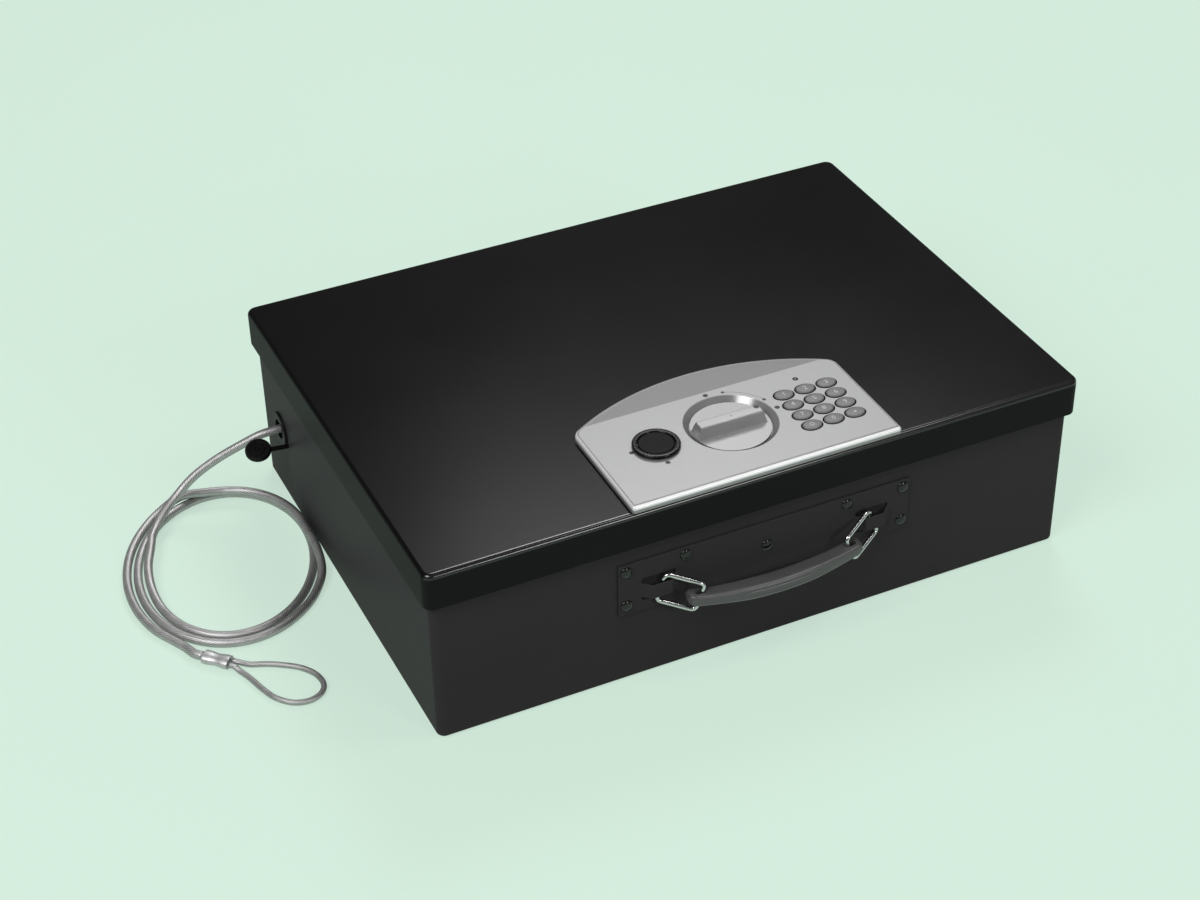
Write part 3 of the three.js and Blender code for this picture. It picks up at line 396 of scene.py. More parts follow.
def soften(piece, width, segments, degrees=35):
    """Rounds the edges sharper than an angle."""
    apply(piece, "BEVEL", width=width, segments=segments, limit_method="ANGLE",
          angle_limit=math.radians(degrees))
    face_weights(piece)


ferrule_length, ferrule_half_height, ferrule_half_width = 0.015, 0.003, 0.0045
ferrule = start("cylinder", "pressed_ferrule", vertices=48, radius=1, depth=ferrule_length)
put_down(ferrule, scale=(ferrule_half_height, ferrule_half_width, 1))
for height in (-0.006, -0.0045, -0.003, -0.0015, 0, 0.0015, 0.003, 0.0045, 0.006):
    choose(ferrule, "FACE", every)
    bpy.ops.mesh.bisect(plane_co=(0, 0, height), plane_no=(0, 0, 1))
for height, narrow in ((-0.003, 0.95), (-0.0015, 0.89), (0, 0.87), (0.0015, 0.89), (0.003, 0.95)):
    choose(ferrule, "VERT", lambda point, vert: abs(point.z - height) < 0.0001)
    bpy.ops.transform.resize(value=(narrow, narrow, 1), center_override=(0, 0, height))
choose(ferrule, "FACE", lambda middle, face: abs(face.normal.z) > 0.9)
bpy.ops.mesh.inset(thickness=0.0008)
bpy.ops.transform.resize(value=(1, 1, 0.93), center_override=(0, 0, 0))
bpy.ops.object.mode_set(mode="OBJECT")
soften(ferrule, 0.0004, 3, 40)
put_down(ferrule, ferrule_middle, (0, math.pi / 2, ferrule_turn))
ferrule_look, shader, place = start_look("pressed_aluminium", Metallic=0.8, Specular_Tint=grey(0.35))
scuff = place.noise(420, 4, 0.65)
feed(shader, Base_Color=scuff.tint(grey(0.42), grey(0.72, (1, 1, 1.01))), Roughness=0.32 + scuff * 0.2,
     Normal=scuff.bump(0.2, 0.0002))
settle(ferrule, "box", "ferrule_aluminium", ferrule_look, "cable_ferrule")


# Eye: a loop of the same strand, 3 mm thick, that leaves the ferrule, goes round and comes back
# beside itself. The box's owner passes it round something fixed.
aside = Vector((-ferrule_ahead.y, ferrule_ahead.x, 0))
outlet = ferrule_middle + ferrule_ahead * ferrule_reach
eye_height, eye_radius, leg_apart, leg_reach = 0.0018, 0.0015, 0.0018, 0.003
eye_points = [(-0.2477, -0.0343), (-0.2402, -0.0377), (-0.233, -0.042), (-0.2246, -0.0489),
              (-0.2195, -0.0575), (-0.2189, -0.0663), (-0.2226, -0.0718), (-0.2293, -0.0742),
              (-0.2371, -0.0721), (-0.2441, -0.0648), (-0.2482, -0.0547), (-0.2511, -0.0444),
              (-0.254, -0.0368)]
legs = [[outlet + aside * side + ferrule_ahead * reach for reach in (0, leg_reach)]
        for side in (leg_apart, -leg_apart)]
eye_route = through([*legs[0], *[(x, y, eye_height) for x, y in eye_points], *reversed(legs[1])], 0.0012)
eye_look = strand_look("sleeved_eye_strand", lay=0.018, strands=10, dark=0.16, bright=0.62)
eye = settle(wire_rod("eye_loop", eye_route, eye_radius, 20), "box", "cable_steel", eye_look, "cable_eye")


# Body: a pan of folded sheet steel, 1.5 mm thick, with a hole for the cable in its left wall.
# It is dipped in satin black enamel and baked.
def enamel(name, top, side, shine, edge_gloss):
    """Black enamel, with the grey level and the roughness of the lid's top and of the sides; a darker grey
    level on the top is painted shade, set against the stronger light from above.
    """
    look, shader, place = start_look(name, Specular_IOR_Level=shine, Coat_Roughness=0.14)
    grain = place.noise(1500, 3, 0.6)
    cloud = place.noise(9, 3, 0.55)
    on_top = place.axis("Z").past(0.1045, 0.002)
    # Painted shade: where the top is given a lower grey level than the sides, the top is darkened against the
    # light that falls on it from above.
    level = on_top * (top[0] - side[0]) + side[0]
    rough = on_top * (top[1] - side[1]) + side[1]
    front_edge = place.axis("Z").past(0.1035, 0.0006) * (1 - place.axis("Y").past(-0.129, 0.0006))
    feed(shader, Base_Color=(level * (0.7 + (cloud * 0.6 + grain * 0.4) * 0.6)).tint(grey(0), grey(1)),
         Coat_Weight=front_edge * edge_gloss,
         Roughness=rough + cloud * 0.08 + grain * 0.06, Normal=grain.bump(0.1, 0.0001))
    return look


def sheet_box(name, size, bottom, corner):
    """Box with rounded upright corners, standing at the given height."""
    piece = start("cube", name, size=1)
    put_down(piece, (0, 0, bottom + size[2] / 2), scale=size)
    choose(piece, "EDGE", upright)
    bpy.ops.mesh.bevel(offset=corner, segments=10, affect="EDGES")
    bpy.ops.object.mode_set(mode="OBJECT")
    return piece


def cut(piece, cutter, operation="DIFFERENCE"):
    apply(piece, "BOOLEAN", object=cutter, operation=operation, solver="EXACT")
    bpy.data.objects.remove(cutter)


body_look = enamel("baked_enamel_body", top=(0.037, 0.42), side=(0.037, 0.42), shine=0.03, edge_gloss=0)
sheet, body_height = 0.0015, 0.1042
body_width, body_depth, body_corner, floor_fold = 0.3616, 0.2566, 0.0045, 0.002
body = sheet_box("body_pan", (body_width, body_depth, body_height), bottom=0, corner=body_corner)
choose(body, "FACE", down)
bpy.ops.mesh.region_to_loop()
bpy.ops.mesh.bevel(offset=floor_fold, segments=5, affect="EDGES")
choose(body, "FACE", up)
bpy.ops.mesh.delete(type="ONLY_FACE")
apply(body, "SOLIDIFY", thickness=sheet, offset=-1, use_even_offset=True)
cut(body, put_down(start("cylinder", "port_hole", vertices=48, radius=0.008, depth=0.012), port_middle,
                   (0, math.pi / 2, 0)))
face_weights(body)
settle(body, "box", "black_enamel", body_look, "body_shell")


# Rim frame: a flat steel frame, 8 mm wide, welded round the inside of the body's rim. Its front is
# doubled where the bolt's tongues catch under it.
frame_border = 0.008
frame_width, frame_depth = body_width - 2 * sheet, body_depth - 2 * sheet
rim_frame = sheet_box("welded_rim_frame", (frame_width, frame_depth, sheet), bottom=body_height - sheet,
                      corner=0.003)
opening = (frame_width - 2 * frame_border, frame_depth - 2 * frame_border, 0.01)
cut(rim_frame, sheet_box("frame_opening", opening, bottom=0.098, corner=0.0045))
doubler = put_down(start("cube", "frame_doubler", size=1), (0.001, -0.1228, 0.10205),
                   scale=(0.06, frame_border, 0.0017))
cut(rim_frame, doubler, "UNION")
soften(rim_frame, 0.0003, 2, 50)
settle(rim_frame, "box", "black_enamel", body_look, "rim_frame")


# Lid: a pressed pan with a deep skirt that drops over the body, its edges rolled round a 2.5 mm
# radius, in the same black enamel. Its two hinges are at the back.
# The lid's top is painted darker than its skirt, as painted shade against the stronger light from above; its
# roughness differs too.
lid_look = enamel("baked_enamel_lid", top=(0.003, 0.15), side=(0.0065, 0.5), shine=0.09, edge_gloss=1)
lid_width, lid_depth, lid_edge = 0.368, 0.263, 0.0025
skirt_height, skirt_bottom = 0.0207, 0.0853
lid = sheet_box("lid_pan", (lid_width, lid_depth, skirt_height), bottom=skirt_bottom, corner=0.0055)
choose(lid, "FACE", up)
bpy.ops.mesh.region_to_loop()
bpy.ops.mesh.bevel(offset=lid_edge, segments=7, affect="EDGES")
choose(lid, "FACE", down)
bpy.ops.mesh.delete(type="ONLY_FACE")
apply(lid, "SOLIDIFY", thickness=sheet, offset=-1, use_even_offset=True)
face_weights(lid)
settle(lid, "lid", "black_enamel", lid_look, "lid_shell")


# Keypad panel: a satin silver moulding on the lid's front edge, with an arched back, a dished well for the
# dial, holes for the keys and a lamp, and a darker bare band along the arch. Its rolled edge is painted pale
# grey as a painted highlight, and the walls of its holes are painted near black as painted shade.
fittings_x = 0.001
panel_front, panel_under, panel_top = -0.131, 0.106, 0.11
panel_half, panel_side, panel_rise = 0.0755, 0.0695, 0.0227
arc_radius = (panel_half ** 2 + panel_rise ** 2) / (2 * panel_rise)
arc_middle = panel_front + panel_side + panel_rise - arc_radius
dial_middle = Vector((fittings_x, panel_front + 0.0421, 0))
lock_middle = Vector((fittings_x - 0.0428, panel_front + 0.041, 0))
keys_x, top_row_y, key_pitch_x, key_pitch_y = fittings_x + 0.048, panel_front + 0.0514, 0.0125, 0.0099
key_spots = [Vector((keys_x + (column - 1) * key_pitch_x, top_row_y - row * key_pitch_y, 0))
             for row in range(4) for column in range(3)]
lamp_spot = Vector((keys_x, panel_front + 0.0617, 0))

panel = start("plane", "keypad_panel", size=1)
put_down(panel, (fittings_x, panel_front + panel_side / 2, panel_under),
         scale=(2 * panel_half, panel_side, 1))
back_edge = panel_front + panel_side
choose(panel, "EDGE", lambda middle, edge: abs(middle.y - back_edge) < 0.001)
bpy.ops.mesh.subdivide(number_cuts=39)
for i in range(1, 40):
    x = panel_half * (i / 20 - 1)
    choose(panel, "VERT", lambda point, vert: point.y > back_edge - 0.001
           and abs(point.x - fittings_x - x) < 0.0005)
    arch = arc_middle + math.sqrt(arc_radius ** 2 - x ** 2) - back_edge
    bpy.ops.transform.translate(value=(0, arch, 0))
for front, radius in ((True, 0.0018), (False, 0.0038)):
    choose(panel, "VERT", lambda point, vert: abs(abs(point.x - fittings_x) - panel_half) < 0.0005
           and (point.y < panel_front + 0.01) == front)
    bpy.ops.mesh.bevel(offset=radius, segments=8, affect="VERTICES")
choose(panel, "FACE", every)
bpy.ops.mesh.extrude_region_move(TRANSFORM_OT_translate={"value": (0, 0, panel_top - panel_under)})
bpy.ops.mesh.select_all(action="SELECT")
bpy.ops.mesh.normals_make_consistent(inside=False)
choose(panel, "FACE", up)
bpy.ops.mesh.region_to_loop()
bpy.ops.mesh.bevel(offset=0.002, segments=6, affect="EDGES")
bpy.ops.object.mode_set(mode="OBJECT")
well_floor, well_height = panel_top - 0.0034, 0.004
well = start("cone", "dial_well", vertices=96, radius1=0.0214, radius2=0.02516, depth=well_height)
cut(panel, put_down(well, dial_middle + Vector((0, 0, well_floor + well_height / 2))))
for spot, size in [(q, (0.006, 0.0047)) for q in key_spots] + [(lamp_spot, (0.00155, 0.00155))]:
    hole = start("cylinder", "key_hole", vertices=40, radius=1, depth=0.006)
    cut(panel, put_down(hole, spot + Vector((0, 0, panel_top)), scale=(*size, 1)))
soften(panel, 0.0003, 3, 40)

panel_look, shader, place = start_look("satin_silver_panel", Metallic=0.4)
brush = place.stretched(60, 1400, 400).noise(1, 3, 0.6)
flake = place.noise(2600, 2, 0.6)
flat = place.stretched(1, 1, 0)
from_arc = flat.from_point((fittings_x, arc_middle, 0))
band = place.axis("Y").past(-0.0592, 0.0006) * (1 - from_arc.past(arc_radius - 0.0022, 0.0006))
dial_reach = flat.from_point(dial_middle)
dial_x, dial_y = place.axis("X") - dial_middle.x, place.axis("Y") - dial_middle.y
low, high = math.radians(23), math.radians(71.6)
ink = 1 - dial_reach.math("ABSOLUTE", dial_reach - 0.027).past(0.0002, 0.0002)
ink = ink * (dial_y * math.cos(low) - dial_x * math.sin(low)).past(0, 0.0003)
ink = ink * (dial_x * math.sin(high) - dial_y * math.cos(high)).past(0, 0.0003) * 0.55
for middle, turn, reach, radius in (
    (dial_middle, 91.5, 0.027, 0.0014), (dial_middle, 71.6, 0.027, 0.0009),
    (dial_middle, 23, 0.0268, 0.001), (dial_middle, 2.7, 0.0273, 0.0014),
    (lock_middle, 179.6, 0.0136, 0.0013), (lock_middle, 266.2, 0.0152, 0.0013),
):
    mark = middle + Vector((math.cos(math.radians(turn)), math.sin(math.radians(turn)), 0)) * reach
    ink = ink + (1 - flat.from_point(mark).past(radius, 0.0004))
key_middle = Vector((keys_x, panel_front + 0.03655, 0))
# Painted shade: the walls of the key and lamp holes, below the panel's top, are painted near black.
painted_hole_shade = 1 - place.axis("Z").past(panel_top - 0.0004, 0.0004)
painted_hole_shade = painted_hole_shade * (1 - flat.from_point(key_middle).past(0.0265, 0.0004))
painted_hole_shade = painted_hole_shade * place.axis("X").past(fittings_x + 0.0275, 0.0004)
shade = brush * 0.5 + flake * 0.5
silver = shade.tint(grey(0.25, (1, 1.003, 1.006)), grey(0.32, (1, 1.003, 1.006)))
banded = band.tint(silver, shade.tint(grey(0.13), grey(0.18)))
below_top = 1 - place.axis("Z").past(panel_top - 0.0002, 0.0002)
well_side = below_top * (1 - dial_reach.past(0.026, 0.0004))
# Painted highlight: the rolled outer edge of the panel is painted pale grey, brighter than the silver.
painted_highlight_edge = below_top * (1 - well_side) * place.axis("Z").past(panel_top - 0.0021, 0.0008)
wear_and_edge_highlight = painted_highlight_edge.tint(banded, grey(0.9))
feed(shader, Base_Color=ink.math("MINIMUM", ink + painted_hole_shade, 1.0).tint(wear_and_edge_highlight, grey(0.008)),
     Roughness=0.3 - well_side * 0.18 + brush * 0.14 + flake * 0.06,
     Normal=(brush * 0.4 + flake * 0.6).bump(0.05, 0.0001))
settle(panel, "lid", "satin_silver", panel_look, "panel_bezel")


# Dial: a flat disc of silver moulding at the bottom of its well, with a tapered finger bar across
# it. It turns a crank under the lid that throws the bolt. A black dot marks one end of the bar.
disc_bottom, disc_top, bar_top = 0.1069, 0.1078, 0.1142
disc_radius, bar_length, bar_width, bar_taper = 0.021, 0.05, 0.0108, 0.5556
knob = start("cylinder", "dial_knob_disc", vertices=96, radius=disc_radius, depth=disc_top - disc_bottom)
put_down(knob, dial_middle + Vector((0, 0, (disc_top + disc_bottom) / 2)))
bar_foot = disc_top - 0.0004
bar_height, bar_middle = bar_top - bar_foot, (bar_foot + bar_top) / 2
bar = start("cube", "finger_bar", size=1)
put_down(bar, dial_middle + Vector((0, 0, bar_middle)), scale=(bar_length, bar_width, bar_height))
choose(bar, "FACE", up)
bpy.ops.transform.resize(value=(1, bar_taper, 1), center_override=dial_middle + Vector((0, 0, bar_top)))
bpy.ops.object.mode_set(mode="OBJECT")
foot_radius, tip_radius, ends_shift = 0.02, 0.0178, -0.0009
ends = start("cone", "bar_ends", vertices=96, radius1=foot_radius, radius2=tip_radius,
             depth=bar_height + 0.0008)
cut(bar, put_down(ends, dial_middle + Vector((ends_shift, 0, bar_middle))), "INTERSECT")
choose(bar, "FACE", up)
bpy.ops.mesh.region_to_loop()
bpy.ops.mesh.bevel(offset=0.0006, segments=4, affect="EDGES")
bpy.ops.object.mode_set(mode="OBJECT")
cut(knob, bar, "UNION")
soften(knob, 0.0003, 3, 30)
knob_look, shader, place = start_look("satin_silver_dial", Metallic=0.4)
brush = place.stretched(45, 1500, 700).noise(1, 3, 0.6)
flake = place.noise(2600, 2, 0.6)
dot = 1 - place.from_point(dial_middle + Vector((0.015, 0.0013, bar_top))).past(0.0015, 0.0004)
pip = 1 - place.from_point(dial_middle + Vector((0, 0, bar_top))).past(0.0006, 0.0006)
silver = (brush * 0.6 + flake * 0.4).tint(grey(0.24), grey(0.31))
feed(shader, Base_Color=(dot + pip * 0.5).tint(silver, grey(0.012)), Roughness=0.24 + brush * 0.16,
     Normal=(brush * 0.6 + flake * 0.4).bump(0.06, 0.0001))
settle(knob, "dial", "satin_silver", knob_look, "dial_knob")


# Key lock cover: a glossy black ring, pressed into the panel, round a flat cap that lifts off the
# override lock. Both are black plastic.
ring_radius, ring_height, ring_border, cap_radius, cap_height = 0.0124, 0.0022, 0.0028, 0.0093, 0.0019
rim = start("cylinder", "lock_cover_ring", vertices=96, radius=ring_radius, depth=ring_height)
put_down(rim, lock_middle + Vector((0, 0, panel_top + ring_height / 2)))
choose(rim, "FACE", lambda middle, face: abs(face.normal.z) > 0.9)
bpy.ops.mesh.inset(thickness=ring_border)
bpy.ops.mesh.bridge_edge_loops()
bpy.ops.object.mode_set(mode="OBJECT")
soften(rim, 0.0008, 5, 40)
rim_look, shader, place = start_look("gloss_black_moulding", Specular_IOR_Level=0.1, Coat_Weight=0.3,
                                     Coat_Roughness=0.08)
haze = place.noise(500, 3)
feed(shader, Base_Color=haze.tint(grey(0.003), grey(0.007)), Roughness=0.2 + haze * 0.14,
     Normal=haze.bump(0.04, 0.0001))
settle(rim, "lid", "black_plastic", rim_look, "lock_rim")

cap = start("cylinder", "lock_cover_cap", vertices=96, radius=cap_radius, depth=cap_height)
put_down(cap, lock_middle + Vector((0, 0, panel_top + cap_height / 2)))
soften(cap, 0.0006, 5, 40)
cap_look, shader, place = start_look("satin_black_moulding", Specular_IOR_Level=0.04)
grain = place.noise(1800, 3)
cloud = place.noise(150, 3)
feed(shader, Base_Color=(grain * 0.4 + cloud * 0.6).tint(grey(0.007), grey(0.015)),
     Roughness=0.34 + grain * 0.15, Normal=grain.bump(0.1, 0.0001))
settle(cap, "key_cap", "black_plastic", cap_look, "key_cap")


# Keys: twelve oval keys, moulded in grey plastic with soft rounded tops and printed numbers, their sides
# below the crown painted near black as shade in the gaps round them. The two beside the nought carry a plain
# ring and a plain dot. Each travels half a millimetre.
def copied(piece, name, at=(0, 0, 0)):
    twin = bpy.data.objects.new(name, piece.data.copy())
    bpy.context.scene.collection.objects.link(twin)
    return put_down(twin, at)


key_look, shader, place = start_look("grey_key_moulding", Specular_IOR_Level=0.45)
grain = place.noise(1600, 3)
cloud = place.noise(260, 2)
# Painted shade: each key's sides, below its crown, are painted near black.
crown_above_painted_shade = place.axis("Z").past(0.1101, 0.0003)
feed(shader, Base_Color=crown_above_painted_shade.tint(grey(0.01), (grain * 0.5 + cloud * 0.5).tint(grey(0.11), grey(0.2))),
     Roughness=0.34 + grain * 0.2, Normal=grain.bump(0.1, 0.0001))
print_look, shader, place = start_look("pale_key_print", Specular_IOR_Level=0.3)
wear_and_edge_highlight = place.noise(900, 3)
feed(shader, Base_Color=wear_and_edge_highlight.tint(grey(0.42), grey(0.62)), Roughness=0.5 + wear_and_edge_highlight * 0.2)
key_top, key_height, key_half_width, key_half_depth = 0.1108, 0.0029, 0.0053, 0.004
blank_key = start("cylinder", "blank_key", vertices=40, radius=1, depth=key_height)
put_down(blank_key, (0, 0, key_top - key_height / 2), scale=(key_half_width, key_half_depth, 1))
choose(blank_key, "FACE", up)
bpy.ops.mesh.region_to_loop()
bpy.ops.mesh.bevel(offset=0.0009, segments=6, affect="EDGES")
bpy.ops.object.mode_set(mode="OBJECT")
smooth(blank_key, 40)
for i, (spot, sign) in enumerate(zip(key_spots, [*"123456789", "ring", "0", "dot"])):
    if sign == "ring":
        mark = start("torus", "key_print", major_radius=0.0011, minor_radius=0.0002, major_segments=32,
                     minor_segments=6)
        put_down(mark, scale=(1, 1, 0.15))
    elif sign == "dot":
        mark = start("cylinder", "key_print", vertices=24, radius=0.0007, depth=0.00006)
    else:
        bpy.ops.object.select_all(action="DESELECT")
        bpy.ops.object.text_add()
        text = bpy.context.object.data
        text.body, text.size, text.extrude, text.resolution_u = sign, 0.0042, 0.00003, 3
        text.align_x = text.align_y = "CENTER"
        bpy.ops.object.convert(target="MESH")
        mark = bpy.context.object
    mark.name = mark.data.name = f"key_print_{i + 1}"
    put_down(mark, spot + Vector((0, 0, key_top)))
    settle(mark, f"key_{i + 1}", "key_grey", print_look)
    settle(copied(blank_key, f"push_key_{i + 1}", spot), f"key_{i + 1}", "key_grey", key_look, f"key_{i + 1}")
bpy.data.objects.remove(blank_key)


# Status lamp: a small dark lens, moulded in tinted plastic. It comes up through a hole above the
# keys and stands just proud of the panel.
lens_foot, lens_height = 0.1068, 0.0035
lens = start("cylinder", "status_lens", vertices=32, radius=0.0012, depth=lens_height)
put_down(lens, lamp_spot + Vector((0, 0, lens_foot + lens_height / 2)))
choose(lens, "FACE", up)
bpy.ops.mesh.region_to_loop()
bpy.ops.mesh.bevel(offset=0.0006, segments=5, affect="EDGES")
bpy.ops.object.mode_set(mode="OBJECT")
smooth(lens)
lens_look, shader, place = start_look("dark_lens", Coat_Weight=0.5)
tint = place.noise(700)
feed(shader, Base_Color=tint.tint((0.008, 0.004, 0.004, 1), (0.016, 0.006, 0.006, 1)),
     Roughness=0.1 + tint * 0.1)
settle(lens, "lid", "lamp_lens", lens_look, "status_lamp")


# Handle plate: a riveted steel strip with two raised straps, each over a slit above and below
# that lets a wire ring swing, in the body's enamel.
def refined(node, name, width, angle=35):
    """Copy of a CAD node with its corners joined and its edges rounded."""
    piece = bpy.data.objects.new(name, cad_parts[node].data.copy())
    bpy.context.scene.collection.objects.link(piece)
    choose(piece, "FACE", every)
    bpy.ops.mesh.remove_doubles(threshold=0.000002)
    bpy.ops.mesh.dissolve_limited(angle_limit=math.radians(0.6))
    bpy.ops.object.mode_set(mode="OBJECT")
    if width:
        soften(piece, width, 2, angle)
    return piece


settle(refined("handle_plate", "riveted_handle_plate", 0.0004), "box", "black_enamel", body_look,
       "handle_plate")


# Rivets: seven domed steel rivets, in a glossier black than the plate, that hold it to the front
# wall. Their tails are flattened behind the wall.
rivet_look, shader, place = start_look("gloss_black_rivet", Specular_IOR_Level=0.0, Coat_Weight=0.8,
                                       Coat_Roughness=0.1)
rub = place.noise(700, 3)
feed(shader, Base_Color=rub.tint(grey(0.003), grey(0.01)), Roughness=0.2 + rub * 0.12)
wall_front, plate_thickness = -0.1283, 0.0012
rivet_radius, dome_flatness, shank_length, tail_height = 0.0033, 0.4545, 0.0027, 0.0008
blank_rivet = start("uv_sphere", "blank_rivet", segments=36, ring_count=20, radius=rivet_radius)
choose(blank_rivet, "FACE", every)
bpy.ops.mesh.bisect(plane_co=(0, 0, 0), plane_no=(0, 0, 1), clear_inner=True, use_fill=True)
put_down(blank_rivet, scale=(1, 1, dome_flatness))
choose(blank_rivet, "FACE", down)
bpy.ops.mesh.inset(thickness=0.0017)
bpy.ops.mesh.extrude_region_move(TRANSFORM_OT_translate={"value": (0, 0, -shank_length)})
bpy.ops.mesh.extrude_region_move(TRANSFORM_OT_translate={"value": (0, 0, 0)})
bpy.ops.transform.resize(value=(1.6, 1.6, 1), center_override=(0, 0, -shank_length))
bpy.ops.mesh.extrude_region_move(TRANSFORM_OT_translate={"value": (0, 0, -tail_height)})
bpy.ops.mesh.select_all(action="SELECT")
bpy.ops.mesh.normals_make_consistent(inside=False)
smooth(blank_rivet, 40)
put_down(blank_rivet, turn=(math.pi / 2, 0, 0))
for i, (x, z) in enumerate(((-0.079, 0.07), (-0.079, 0.049), (-0.046, 0.07), (0, 0.06), (0.046, 0.07),
                            (0.079, 0.07), (0.079, 0.049))):
    rivet = copied(blank_rivet, f"domed_rivet_{i + 1}", (fittings_x + x, wall_front - plate_thickness, z))
    settle(rivet, "box", "black_enamel", rivet_look, f"handle_rivet_{i + 1}")
bpy.data.objects.remove(blank_rivet)


# Rings: chromed wire, 2.5 mm thick, bent to a rectangle round the strap; its ends meet in the
# grip's eye. Each ring hangs from its strap and swings up with the grip.
chrome_look, shader, place = start_look("chromed_wire", Metallic=1.0)
smear = place.noise(260, 3)
feed(shader, Base_Color=smear.tint(grey(0.46), grey(0.64)), Roughness=0.06 + smear * 0.1,
     Normal=smear.bump(0.03, 0.0001))
wire_radius, wire_bend, ring_length, ring_half, ring_gap = 0.00125, 0.003, 0.021, 0.00775, 0.0003
strap_x, strap_z, strap_proud, strap_gap, grip_proud = 0.061, 0.056, 0.0045, 0.0003, 0.0084
droop = math.radians(21.5)
swing = math.sqrt(ring_length ** 2 - grip_proud ** 2)
ring_back_y = wall_front - strap_proud + strap_gap + wire_radius
eye_x, eye_z = strap_x - swing * math.cos(droop), strap_z - swing * math.sin(droop)
eye_y = ring_back_y - grip_proud
for side, name in ((-1, "left"), (1, "right")):
    back = Vector((fittings_x + side * strap_x, ring_back_y, strap_z))
    front = Vector((fittings_x + side * eye_x, eye_y, eye_z))
    across = Vector((side * math.sin(droop), 0, -math.cos(droop)))
    half, split = across * ring_half, across * ring_gap
    corners = [front + split, front + half, back + half, back - half, front - half, front - split]
    path = [corners[0]]
    for before, corner, after in zip(corners, corners[1:], corners[2:]):
        start_bend = corner + (before - corner).normalized() * wire_bend
        end_bend = corner + (after - corner).normalized() * wire_bend
        steps = round((start_bend - path[-1]).length / 0.0012)
        path += [path[-1].lerp(start_bend, (k + 1) / steps) for k in range(steps)]
        shares = [(k + 1) / 8 for k in range(8)]
        path += [start_bend.lerp(corner, t).lerp(corner.lerp(end_bend, t), t) for t in shares]
    steps = round((corners[-1] - path[-1]).length / 0.0012)
    path += [path[-1].lerp(corners[-1], (k + 1) / steps) for k in range(steps)]
    settle(wire_rod(f"wire_ring_{name}", path, wire_radius, 20), f"ring_{name}", "chrome_wire", chrome_look,
           f"handle_ring_{name}")


# Grip: a bowed charcoal moulding, thick in the middle, with two long grooves down its front and a
# flat tongue with an eye at each end for a ring.
grip_half, bow_out, bow_down = eye_x + 0.0059, 0.0042, 0.0019
end_half_y, end_half_z, swell_y, swell_z = 0.0046, 0.0035, 0.0004, 0.0009
rings = []
for i in range(61):
    x = (2 * i / 60 - 1) * grip_half
    from_end = grip_half - abs(x)
    swell = rise(from_end, 0.009, 0.035)
    tip = 0.72 + 0.28 * math.sin(min(1, from_end / 0.0016) * math.pi / 2)
    half_y, half_z = end_half_y + swell_y * swell, end_half_z + swell_z * swell
    bow = 1 - (x / eye_x) ** 2
    section = []
    for j in range(96):
        turn = 2 * math.pi * j / 96
        c, s = math.cos(turn), math.sin(turn)
        flat_side = (abs(c) ** 3.6 + abs(s) ** 3.6) ** (-1 / 3.6)
        height = s * flat_side
        groove = sum(math.exp(-((height - line) / 0.075) ** 2) for line in (0.36, -0.3))
        depth = 1 - (0.075 * swell * groove if c < 0 else 0)
        section.append(Vector((fittings_x + x, eye_y - bow_out * bow + half_y * c * flat_side * tip * depth,
                               eye_z - bow_down * bow + half_z * height * tip)))
    rings.append(section)
grip = skin("bowed_grip", rings)
for side in (-1, 1):
    slot = put_down(start("cube", "ring_eye", size=1), (fittings_x + side * eye_x, eye_y, eye_z),
                    scale=(0.0059, 0.0031, 0.02))
    choose(slot, "EDGE", upright)
    bpy.ops.mesh.bevel(offset=0.0014, segments=6, affect="EDGES")
    cut(grip, slot)
smooth(grip, 50)
grip_look, shader, place = start_look("charcoal_grip", Specular_IOR_Level=0.5)
grain = place.noise(1400, 3)
rub = place.noise(60, 3)
feed(shader, Base_Color=(rub * 0.6 + grain * 0.4).tint(grey(0.054), grey(0.096)),
     Roughness=0.26 + grain * 0.12, Normal=grain.bump(0.15, 0.00015))
settle(grip, "grip", "grip_plastic", grip_look, "handle_grip")


# Cable port: a black rubber grommet in the left wall, the steel stop behind it that keeps the
# cable in, and a round plug on a thin tail that closes the hole when the cable is put away.
rubber_look, shader, place = start_look("black_rubber", Specular_IOR_Level=0.14)
grain = place.noise(1300, 4, 0.6)
feed(shader, Base_Color=grain.tint(grey(0.002), grey(0.006)), Roughness=0.4 + grain * 0.25,
     Normal=grain.bump(0.25, 0.0002))
settle(refined("port_grommet", "rubber_grommet", 0.0003), "box", "black_rubber", rubber_look, "port_grommet")

plug_radius, plug_thickness, plug_reach, plug_y, plug_z = 0.0072, 0.0032, 0.0172, 0.0867, 0.043
plug = start("cylinder", "tailed_plug", vertices=64, radius=plug_radius, depth=plug_thickness)
choose(plug, "EDGE", lambda middle, edge: abs(edge.verts[0].co.z - edge.verts[1].co.z) < 0.0001)
bpy.ops.mesh.bevel(offset=0.001, segments=6, affect="EDGES")
for _ in range(2):
    choose(plug, "FACE", lambda middle, face: abs(face.normal.z) > 0.9 and face.calc_area() > 0.00001)
    bpy.ops.mesh.inset(thickness=0.0016)
    bpy.ops.mesh.inset(thickness=0.0003, depth=-0.0004)
    bpy.ops.mesh.inset(thickness=0.0005)
    bpy.ops.mesh.inset(thickness=0.0003, depth=0.0004)
bpy.ops.object.mode_set(mode="OBJECT")
put_down(plug, turn=(math.radians(18), 0, 0))
put_down(plug, turn=(0, math.radians(-8), 0))
put_down(plug, (port_middle.x - plug_reach, plug_y, plug_z))
tail = start("cube", "plug_tail", size=1)
put_down(tail, (port_middle.x - 0.0069, 0.0851, 0.0422), (0, math.radians(6), 0),
         (0.0132, 0.0022, 0.0016))
cut(plug, tail, "UNION")
soften(plug, 0.0002, 2, 50)
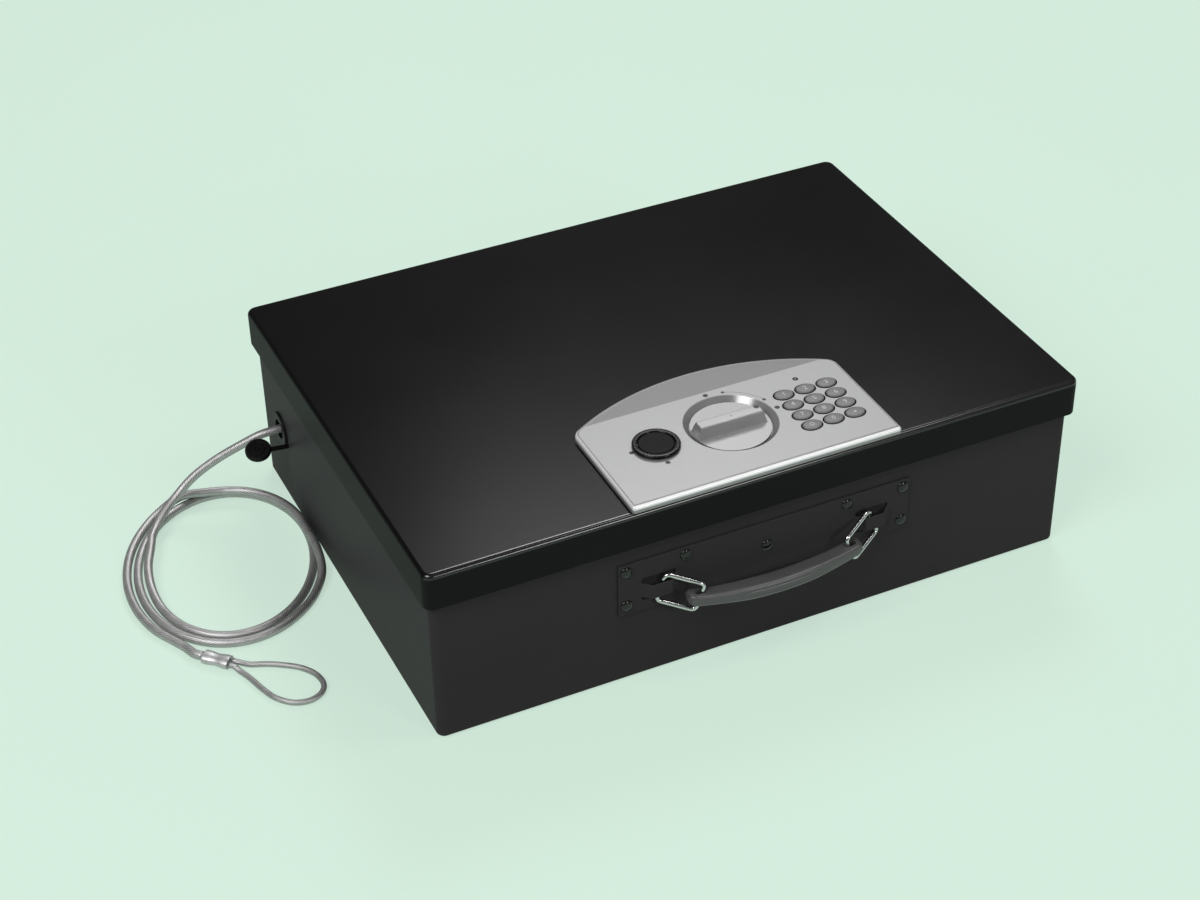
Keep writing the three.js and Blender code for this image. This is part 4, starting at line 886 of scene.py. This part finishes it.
settle(plug, "box", "black_rubber", rubber_look, "port_plug")

zinc_look, shader, place = start_look("zinc_plated_steel", Metallic=0.9)
cell = place.make("ShaderNodeTexVoronoi", {}, {"Vector": place, "Scale": 420.0})
dull = place.noise(140, 3)
feed(shader, Base_Color=(cell * 0.4 + dull * 0.6).tint(grey(0.4, (1, 1, 0.97)), grey(0.66, (1, 1, 0.97))),
     Roughness=0.3 + dull * 0.25, Normal=cell.bump(0.06, 0.0001))
settle(refined("cable_stop", "cable_stop_collar", 0.0002), "box", "plated_steel", zinc_look, "cable_stop")


# Hinges: two leaves with rolled knuckles on a plain pin at each end of the back wall, welded on
# and enamelled with the body and the lid.
for side in ("left", "right"):
    settle(refined(f"hinge_body_leaf_{side}", f"body_hinge_leaf_{side}", 0.0002), "box", "black_enamel",
           body_look, f"hinge_body_leaf_{side}")
    settle(refined(f"hinge_lid_leaf_{side}", f"lid_hinge_leaf_{side}", 0.0002), "lid", "black_enamel",
           lid_look, f"hinge_lid_leaf_{side}")
    settle(refined(f"hinge_pin_{side}", f"hinge_rod_{side}", 0.0003), "box", "plated_steel", zinc_look,
           f"hinge_pin_{side}")


# Lockwork under the lid: the bolt and its guide, the dial's crank, the solenoid that blocks the
# bolt, and the key lock's barrel and brass core.
for node, name, body_name in (
    ("latch_bolt", "double_bolt", "bolt"), ("bolt_guide", "bolt_bridge", "lid"),
    ("dial_spindle", "dial_crank", "dial"), ("solenoid_body", "solenoid_frame", "lid"),
    ("solenoid_plunger", "solenoid_rod", "plunger"), ("lock_barrel", "cam_lock_barrel", "lid"),
):
    settle(refined(node, name, 0.0002), body_name, "plated_steel", zinc_look, node)
brass_look, shader, place = start_look("turned_brass", Metallic=1.0)
turned = place.noise(900, 3)
feed(shader, Base_Color=turned.tint((0.42, 0.28, 0.09, 1), (0.62, 0.44, 0.16, 1)),
     Roughness=0.22 + turned * 0.2, Normal=turned.bump(0.06, 0.0001))
settle(refined("lock_plug", "cam_lock_core", 0.00015), "lock_core", "brass", brass_look, "lock_plug")


# Lock case: a black moulded tray under the lid with a door over four dry cells, the main board
# beside them and the keypad's own board and dome sheet under the panel.
case_look, shader, place = start_look("textured_black_moulding", Specular_IOR_Level=0.35)
spark = place.noise(1100, 4, 0.7)
feed(shader, Base_Color=spark.tint(grey(0.01), grey(0.022)), Roughness=0.45 + spark * 0.2,
     Normal=spark.bump(0.3, 0.0002))
settle(refined("lock_case", "lock_tray", 0.0005), "lid", "black_plastic", case_look, "lock_case")
settle(refined("battery_door", "cell_door", 0.0004), "battery_door", "black_plastic", case_look,
       "battery_door")

board_look, shader, place = start_look("solder_mask", Coat_Weight=0.3)
weave = place.noise(1200, 3)
tracks = place.make("ShaderNodeTexBrick", {"offset": 0.5},
                    {"Vector": place, "Scale": 180.0, "Mortar Size": 0.08}, 1)
feed(shader, Base_Color=tracks.tint((0.01, 0.09, 0.04, 1), (0.02, 0.17, 0.08, 1)),
     Roughness=0.3 + weave * 0.2)
for node, name in (("keypad_board", "key_board"), ("circuit_board", "main_board")):
    settle(refined(node, name, 0.0001), "lid", "board_green", board_look, node)
film_look, shader, place = start_look("dome_film")
milk = place.noise(300, 3)
feed(shader, Base_Color=milk.tint(grey(0.5), grey(0.66, (1, 1, 0.95))), Roughness=0.4 + milk * 0.2)
settle(refined("dome_sheet", "key_dome_film", 0.0), "lid", "dome_film", film_look, "dome_sheet")

cell_look, shader, place = start_look("cell_wrap", Coat_Weight=0.4)
smudge = place.noise(120, 3)
from_middle = place.axis("X") - fittings_x
stripe = from_middle.math("ABSOLUTE", from_middle).past(0.036, 0.001)
feed(shader, Base_Color=stripe.tint(smudge.tint(grey(0.02), grey(0.035)),
                                    smudge.tint((0.4, 0.26, 0.1, 1), (0.52, 0.36, 0.15, 1))),
     Roughness=0.25 + smudge * 0.2)
for i in range(1, 5):
    settle(refined(f"battery_{i}", f"dry_cell_{i}", 0.0004), "lid", "battery_wrap", cell_look, f"battery_{i}")
